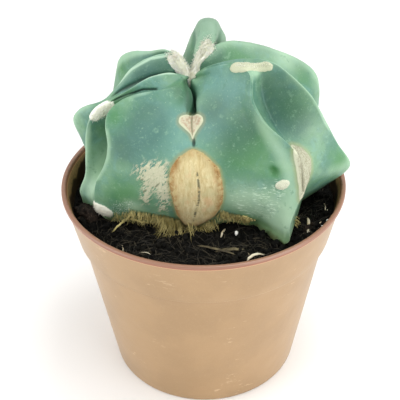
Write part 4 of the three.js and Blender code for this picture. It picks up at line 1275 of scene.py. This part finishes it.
def wool_material():
    s = Shader("wool")
    base = s.blend(s.step(s.noise(0.9, 4.0, 0.7), 0.3, 0.7), (230, 232, 204), (248, 248, 230))
    color = s.coat(base, [(s.step(s.noise(0.35, 2.0), 0.5, 0.7), 0.35, (244, 226, 200))])
    return s.finish(color, 0.95, s.bump(s.noise(3.0, 4.0, 0.75), 0.3, 0.4), Subsurface_Weight=0.7,
                    Subsurface_Radius=(1.0, 1.0, 0.8), Subsurface_Scale=0.0012)


def skin_top(px, py):
    """How high the skin is over a place."""
    return plant_tree.ray_cast(Vector((px, py, ABOVE_PLANT)), DOWN)[0].z


def pad_reach(angle):
    """How far the pad of wool reaches from its middle in one direction."""
    radius = WOOL_RADIUS
    for direction, reach, spread in WOOL_ARMS:
        off = (math.degrees(angle) - direction + 180) % 360 - 180
        radius += reach * math.exp(-((off / spread) ** 4))
    return radius + 0.35 * noise.noise(Vector((4 * math.cos(angle), 4 * math.sin(angle), 0.5)))


def apex_pad():
    """A felted pad that follows the skin under it."""
    shares = np.linspace(0, 1, PAD_RINGS + 1)[1:]
    angles = [side * TAU / PAD_SIDES for side in range(PAD_SIDES)]
    plan = np.array([[polar(share * pad_reach(angle), angle, WOOL_MIDDLE) for angle in angles]
                     for share in shares])
    seat = np.array([[skin_top(*at) for at in ring] for ring in plan])
    for _ in range(SEAT_PASSES):
        seat = (np.roll(seat, 1, 1) + 2 * seat + np.roll(seat, -1, 1)) / 4
        seat[1:-1] = (seat[:-2] + 2 * seat[1:-1] + seat[2:]) / 4
    lumps = noise_at([(*at, 0.0) for at in plan.reshape(-1, 2)], 0.9, 3).reshape(PAD_RINGS, PAD_SIDES)
    dome = PAD_THICKNESS * np.sqrt(np.clip(PAD_FULLNESS - shares ** 2, 0, 1))[:, None]
    upper = seat + dome * (1 + PAD_LUMPS * lumps)
    lower = seat - PAD_DEPTH
    rings = [*np.dstack([plan, lower]), *np.dstack([plan, upper])[::-1]]
    bottom = (*WOOL_MIDDLE, skin_top(*WOOL_MIDDLE) - PAD_DEPTH)
    return closed_rings(bottom, rings, (*WOOL_MIDDLE, float(upper[0].mean())))


def add_hairs(parts, roots, directions, length, lean):
    """Short curled hairs, each leaning its own way from its root."""
    for root, normal in zip(np.array(roots), np.array(directions)):
        tilt = unit(normal + random_unit() * lean)
        size = length * draw.uniform(*HAIR_LENGTHS)
        curl = random_unit() * size * HAIR_CURL
        path = bent_path(root - normal * HAIR_ROOT, root + tilt * size, curl, HAIR_STEPS)
        radii = tapered(HAIR_STEPS, HAIR_RADIUS * draw.uniform(*HAIR_RADII))
        add_strand(parts, path, radii, 3, across=random_unit())


def place_roots(at, along, half, count):
    """Random places on the skin inside an ellipse, with the skin's normals."""
    at = np.array(at)
    normal = np.array(plant_tree.find_nearest(Vector(at))[1])
    long_axis = unit(along)
    cross_axis = unit(np.cross(normal, long_axis))
    roots, directions = [], []
    while len(roots) < count:
        a, b = draw.uniform(-1, 1), draw.uniform(-1, 1)
        if a * a + b * b > 1:
            continue
        start = at + long_axis * a * half[0] + cross_axis * b * half[1] + normal
        found, skin_normal, _, _ = plant_tree.find_nearest(Vector(start))
        roots.append(tuple(found))
        directions.append(tuple(skin_normal))
    return roots, directions


def pad_roots(pad_tree, count):
    """Random places on the pad of wool, with its normals."""
    roots, directions = [], []
    while len(roots) < count:
        radius, angle = random_polar(0, WOOL_RADIUS + LONGEST_ARM)
        if radius > pad_reach(angle):
            continue
        spot = Vector((*polar(radius, angle, WOOL_MIDDLE), ABOVE_PLANT))
        found, normal, _, _ = pad_tree.ray_cast(spot, DOWN)
        if found is not None:
            roots.append(tuple(found))
            directions.append(tuple(normal))
    return roots, directions


def add_wool():
    felt = wool_material()
    apex, tufts = Parts(), Parts()
    pad_points, pad_faces = apex_pad()
    apex.add(pad_points, pad_faces)
    count, length, lean = APEX_TUFT
    add_hairs(apex, *pad_roots(BVHTree.FromPolygons(pad_points.tolist(), pad_faces), count), length, lean)
    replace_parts(apex.piece("growing_point_wool", felt, "wool"), "apex_wool")
    for name, (at, along, half) in {"crest": CREST_HAIRS, **wool_places}.items():
        count, length, lean = TUFTS.get(name, TUFTS["small"])
        spread = (half[0] * TUFT_SPREAD, half[1] * TUFT_SPREAD)
        add_hairs(tufts, *place_roots(at, along, spread, count), length, lean)
    tufts.piece("areole_wool", felt, "wool")


add_wool()

# Crumbs, fibres and slivers in the peat

PLANT_GAP = 0.3
CRUMBS = 1500
CRUMB_INNER = 0.3          # the share of the peat's area, under the plant, that crumbs leave free
CRUMB_MARGIN, CRUMB_EDGE_GAP = 0.8, 0.1
SMALLEST_CRUMB, CRUMB_SPAN = 0.25, 0.9
BIG_CRUMB = 0.8            # crumbs above this size get more faces
# each clod: where it lies and its size
CLODS = (
    (-35.1, -9.2, 2.1), (-33.2, -12.6, 1.3), (-36.2, -12.0, 1.0), (29.6, -18.6, 1.2), (31.4, -16.6, 0.9),
    (-8.0, 37.0, 1.8), (33.0, 18.0, 1.6), (-27.0, 27.4, 1.7), (-34.6, -10.0, 2.6), (-32.8, -11.6, 2.2),
    (-34.8, -7.6, 2.0))
FIBRES = 700
FIBRE_INNER = 0.35
FIBRE_MARGIN, FIBRE_EDGE_GAP = 2.0, 0.5
FIBRE_STEPS = 8
FIBRE_LENGTHS = (2.0, 7.0)
FIBRE_RADII = (0.05, 0.13)
FIBRE_LIFTS = (0.1, 0.7)
FIBRE_BEND = 0.8


def add_crumbs():
    crumbs, clods = Parts(), Parts()
    placed = 0
    while placed < CRUMBS:
        radius, angle = random_polar(CRUMB_INNER, SOIL_RADIUS - CRUMB_MARGIN)
        size = SMALLEST_CRUMB + CRUMB_SPAN * draw.random() ** 3
        px, py = polar(radius, angle)
        if radius + size > SOIL_RADIUS - CRUMB_EDGE_GAP:
            continue
        at = (px, py, on_soil(px, py).z + size * 0.3)
        if not clear_of_plant(at, size * 0.9):
            continue
        half = size * np.array([draw.uniform(0.7, 1.3), draw.uniform(0.6, 1), draw.uniform(0.5, 0.9)])
        add_lump(crumbs, at, half, 2 if size > BIG_CRUMB else 1)
        placed += 1
    crumbs.piece("peat_crumbs", peat_material("crumbs", (6, 6, 5), (22, 20, 14), (52, 48, 36)), "peat")
    for px, py, size in CLODS:
        at = (px, py, on_soil(px, py).z + size * 0.25)
        add_lump(clods, at, np.array([size * 1.2, size, size * 0.8]), 3, 0.45, 1.8)
    clods.piece("peat_clods", peat_material("clods", (14, 12, 10), (58, 48, 40), (128, 112, 98)), "peat")


def fibre_material(name, dark, light):
    s = Shader(name)
    base = s.blend(s.step(s.noise(0.4, 3.0), 0.3, 0.7), dark, light)
    color = s.coat(base, [(s.step(s.noise(2.0, 3.0), 0.55, 0.7), 0.4, dark)])
    return s.finish(color, 0.75, s.bump(s.noise(3.0, 3.0), 0.1, 0.4))


def add_fibres():
    """Dark fibres lying every way over the peat."""
    fibres = Parts()
    placed = 0
    while placed < FIBRES:
        px, py = polar(*random_polar(FIBRE_INNER, SOIL_RADIUS - FIBRE_MARGIN))
        length, turn = draw.uniform(*FIBRE_LENGTHS), draw.uniform(0, TAU)
        ex, ey = polar(length, turn, (px, py))
        if math.hypot(ex, ey) > SOIL_RADIUS - FIBRE_EDGE_GAP:
            continue
        lift = draw.uniform(*FIBRE_LIFTS)
        start = on_soil(px, py) + Vector((0, 0, lift * 0.4))
        end = on_soil(ex, ey) + Vector((0, 0, lift * 0.3))
        if not all(clear_of_plant(at, PLANT_GAP) for at in (start, end, (start + end) / 2)):
            continue
        sag = (draw.uniform(-FIBRE_BEND, FIBRE_BEND), draw.uniform(-FIBRE_BEND, FIBRE_BEND), lift)
        path = bent_path(start, end, sag, FIBRE_STEPS, 0.08)
        add_strand(fibres, path, tapered(FIBRE_STEPS, draw.uniform(*FIBRE_RADII)))
        placed += 1
    fibres.piece("peat_fibres", fibre_material("dark_fibres", (12, 11, 8), (64, 57, 40)), "peat")


# Each sliver: its two ends, its radius, how far it bows and how flat it is.
SLIVERS = (
    ((30.4, -12.4), (29.4, -20.7), 0.5, 0.4, 0.6), ((6.2, -17.8), (4.7, -22.5), 0.34, 0.4, 0.9),
    ((36.0, -4.8), (35.8, -9.4), 0.2, 0.3, 0.8), ((34.4, -13.8), (32.8, -17.1), 0.22, 0.3, 0.8),
    ((30.3, -16.6), (30.2, -20.3), 0.22, 0.3, 0.6), ((30.4, -18.5), (33.0, -18.1), 0.22, 0.4, 0.6),
    ((10.7, -28.1), (12.5, -30.3), 0.24, 0.3, 0.6), ((37.0, -7.4), (36.2, -11.2), 0.18, 0.3, 0.9),
    ((-23.3, -23.3), (-22.5, -27.8), 0.15, 0.4, 0.8), ((-22.5, -27.8), (-20.4, -30.5), 0.17, 0.3, 0.8),
    ((-18.3, -27.5), (-14.9, -28.4), 0.13, 0.5, 0.8), ((-23.5, -29.0), (-21.6, -31.4), 0.16, 0.5, 0.8),
    ((-18.3, -32.7), (-15.1, -31.1), 0.13, 0.3, 0.8), ((-15.0, -32.8), (-12.3, -31.1), 0.12, 0.3, 0.8))
SLIVER_STEPS = 9
# the arched chip at the front: places along it and how far each stands off the peat
CHIP = ((11.2, -32.9, 0.1), (12.1, -32.2, 0.9), (13.4, -31.0, 1.2), (14.8, -29.9, 1.0), (16.2, -29.2, 0.5),
        (17.2, -28.9, 0.1))
# the big pale flake at the plant's foot, and the small ones
BIG_FLAKE = (9.3, -20.6)
FLAKES = ((30.0, -24.2), (34.2, -16.4), (-20.2, -31.4), (36.0, -13.6))
# each leaf shred: its two ends, how far it bows and its radius
SHREDS = (((2.6, -27.4), (11.2, -29.0), (0, 0, 0.5), 0.75), ((-2.4, -24.7), (8.6, -30.7), (0.4, 0, 0.5), 0.5))
SHRED_STEPS = 12


def lying(px, py, lift=0.25):
    """A point just above the peat."""
    return (px, py, on_soil(px, py).z + lift)


def add_slivers():
    slivers = Parts()
    for start, end, radius, curve, flat in SLIVERS:
        sag = (draw.uniform(-1, 1) * curve, draw.uniform(-1, 1) * curve, curve)
        path = bent_path(lying(*start, 0.1), lying(*end, 0.05), sag, SLIVER_STEPS, 0.03)
        add_strand(slivers, path, tapered(SLIVER_STEPS, radius), 6, flat)
    add_strand(slivers, [lying(*at) for at in CHIP], tapered(len(CHIP), 0.55), 8, 0.4)
    slivers.piece("pale_slivers", fibre_material("pale_slivers", (170, 148, 108), (238, 230, 204)), "peat")


def add_flakes():
    flakes = Parts()
    add_lump(flakes, lying(*BIG_FLAKE, 0.5), np.array([1.2, 0.75, 0.5]), 3, 0.16, 1.5)
    for place in FLAKES:
        add_lump(flakes, lying(*place), np.array([0.4, 0.3, 0.25]), 2, 0.3, 1.5)
    flakes.piece("perlite", fibre_material("perlite", (226, 224, 212), (252, 252, 248)), "peat")


def add_shreds():
    shreds = Parts()
    for start, end, sag, radius in SHREDS:
        path = bent_path(lying(*start, 0.2), lying(*end, 0.2), sag, SHRED_STEPS, 0.05)
        add_strand(shreds, path, tapered(SHRED_STEPS, radius), 8, 0.25)
    shreds.piece("leaf_shreds", fibre_material("leaf_shreds", (52, 44, 28), (112, 102, 72)), "peat")


# Where fibres hang from the plant's foot: start and end of each stretch, how many, and their length.
FRINGES = (
    ((-21.5, -15.5, 63), (-9.5, -17, 62), 260, 3.2), ((-12, -17, 61.5), (-4, -17, 60.5), 260, 7.0),
    ((-4, -17.5, 60), (3.5, -17.5, 60), 140, 3.4), ((4.6, -18.8, 64.5), (8.5, -19, 61.5), 160, 2.0),
    ((8.5, -18.8, 62), (12.5, -19.4, 60.5), 120, 1.6), ((-26, -13.6, 60.5), (-21, -15.4, 61.5), 60, 1.8),
    ((27.4, -20.8, 62), (28.6, -17, 60.2), 40, 1.6))
FRINGE_STEPS = 6
FRINGE_RADII = (0.04, 0.09)
FRINGE_RISE = (-0.8, 2.4)
# Where the golden crumbs by the cork lie: start and end of the stretch, and how many.
GOLD_CRUMBS = ((9.6, -20.2, 61.6), (12.6, -21.0, 60.4), 70)
# the two thick roots on the left: start, end, how far each bows and its radius
ROOTS = (((-22.8, -14.8, 60.8), (-26.6, -19.6, 59.4), (0.6, -0.4, 0.8), 0.3),
         ((-22.8, -14.8, 61.0), (-15.6, -17.4, 61.0), (0, -0.8, 0.7), 0.25))
ROOT_STEPS = 10


def add_fringe(gold, start, end, count, length):
    """Fibres that hang from the skin along a stretch, and end just above the peat."""
    for _ in range(count):
        at = Vector(start).lerp(Vector(end), draw.random())
        at += Vector((draw.uniform(-0.9, 0.9), 0, draw.uniform(*FRINGE_RISE)))
        found, normal = (np.array(value) for value in plant_tree.find_nearest(at)[:2])
        fall = unit(normal * 0.8 + np.array((draw.uniform(-0.6, 0.6), 0, -0.6)) + random_unit() * 0.25)
        size = length * draw.uniform(0.3, 1.3)
        path = bent_path(found - normal * 0.1, found + fall * size, normal * 0.35, FRINGE_STEPS, 0.05)
        path[:, 2] = np.maximum(path[:, 2], soil_height(path[:, 0], path[:, 1]) + 0.15)
        add_strand(gold, path, tapered(FRINGE_STEPS, draw.uniform(*FRINGE_RADII)), 3)


def add_root_fibres():
    """Golden-brown fibres and crumbs where the skin meets the peat."""
    gold = Parts()
    for fringe in FRINGES:
        add_fringe(gold, *fringe)
    start, end, count = GOLD_CRUMBS
    for _ in range(count):
        at = Vector(start).lerp(Vector(end), draw.random())
        at += Vector([draw.uniform(-1.2, 1.2) for _ in range(3)])
        found, normal, _, _ = plant_tree.find_nearest(at)
        size = draw.uniform(0.2, 0.5)
        add_lump(gold, found + normal * size * 0.6, np.array([size, size * 0.8, size * 0.8]), 1, 0.5)
    for start, end, sag, radius in ROOTS:
        add_strand(gold, bent_path(start, end, sag, ROOT_STEPS, 0.12), tapered(ROOT_STEPS, radius, 0.6), 6)
    gold.piece("root_fibres", fibre_material("root_fibres", (134, 122, 64), (206, 192, 128)), "peat")


add_crumbs()
add_fibres()
add_slivers()
add_flakes()
add_shreds()
add_root_fibres()

# Floor and light

FLOOR_SIZE = 4.0           # in metres, like the lights' places and sizes
WORLD_STRENGTH = 0.78
LIT_POINT = Vector((0, 0, 0.07))
# each light: its place, its size and its power in watts
LIGHTS = (((0.15, 0.02, 0.5), 0.3, 1.2), ((-0.45, -0.16, 0.28), 0.4, 1.4), ((0.4, -0.32, 0.16), 0.4, 1.6))


def add_floor():
    bpy.ops.mesh.primitive_plane_add(size=FLOOR_SIZE)
    floor = bpy.context.object
    floor.name = "floor"
    s = Shader("floor")
    color = s.mix(s.noise(0.01, 2.0), (0.93, 0.93, 0.92), (0.96, 0.96, 0.95))
    floor.data.materials.append(s.finish(color, 0.7))


def add_area(at, size, power):
    data = bpy.data.lights.new("area", "AREA")
    data.size = size
    data.energy = power
    lamp = bpy.data.objects.new("area", data)
    bpy.context.scene.collection.objects.link(lamp)
    lamp.location = at
    lamp.rotation_mode = "QUATERNION"
    lamp.rotation_quaternion = (LIT_POINT - Vector(at)).to_track_quat("-Z", "Y")


def add_light():
    world = bpy.data.worlds.new("studio")
    bpy.context.scene.world = world
    world.use_nodes = True
    background = world.node_tree.nodes["Background"]
    background.inputs["Color"].default_value = (1, 1, 1, 1)
    background.inputs["Strength"].default_value = WORLD_STRENGTH
    for light in LIGHTS:
        add_area(*light)
    bpy.context.scene.view_settings.view_transform = "Standard"


add_floor()
add_light()
add_camera()
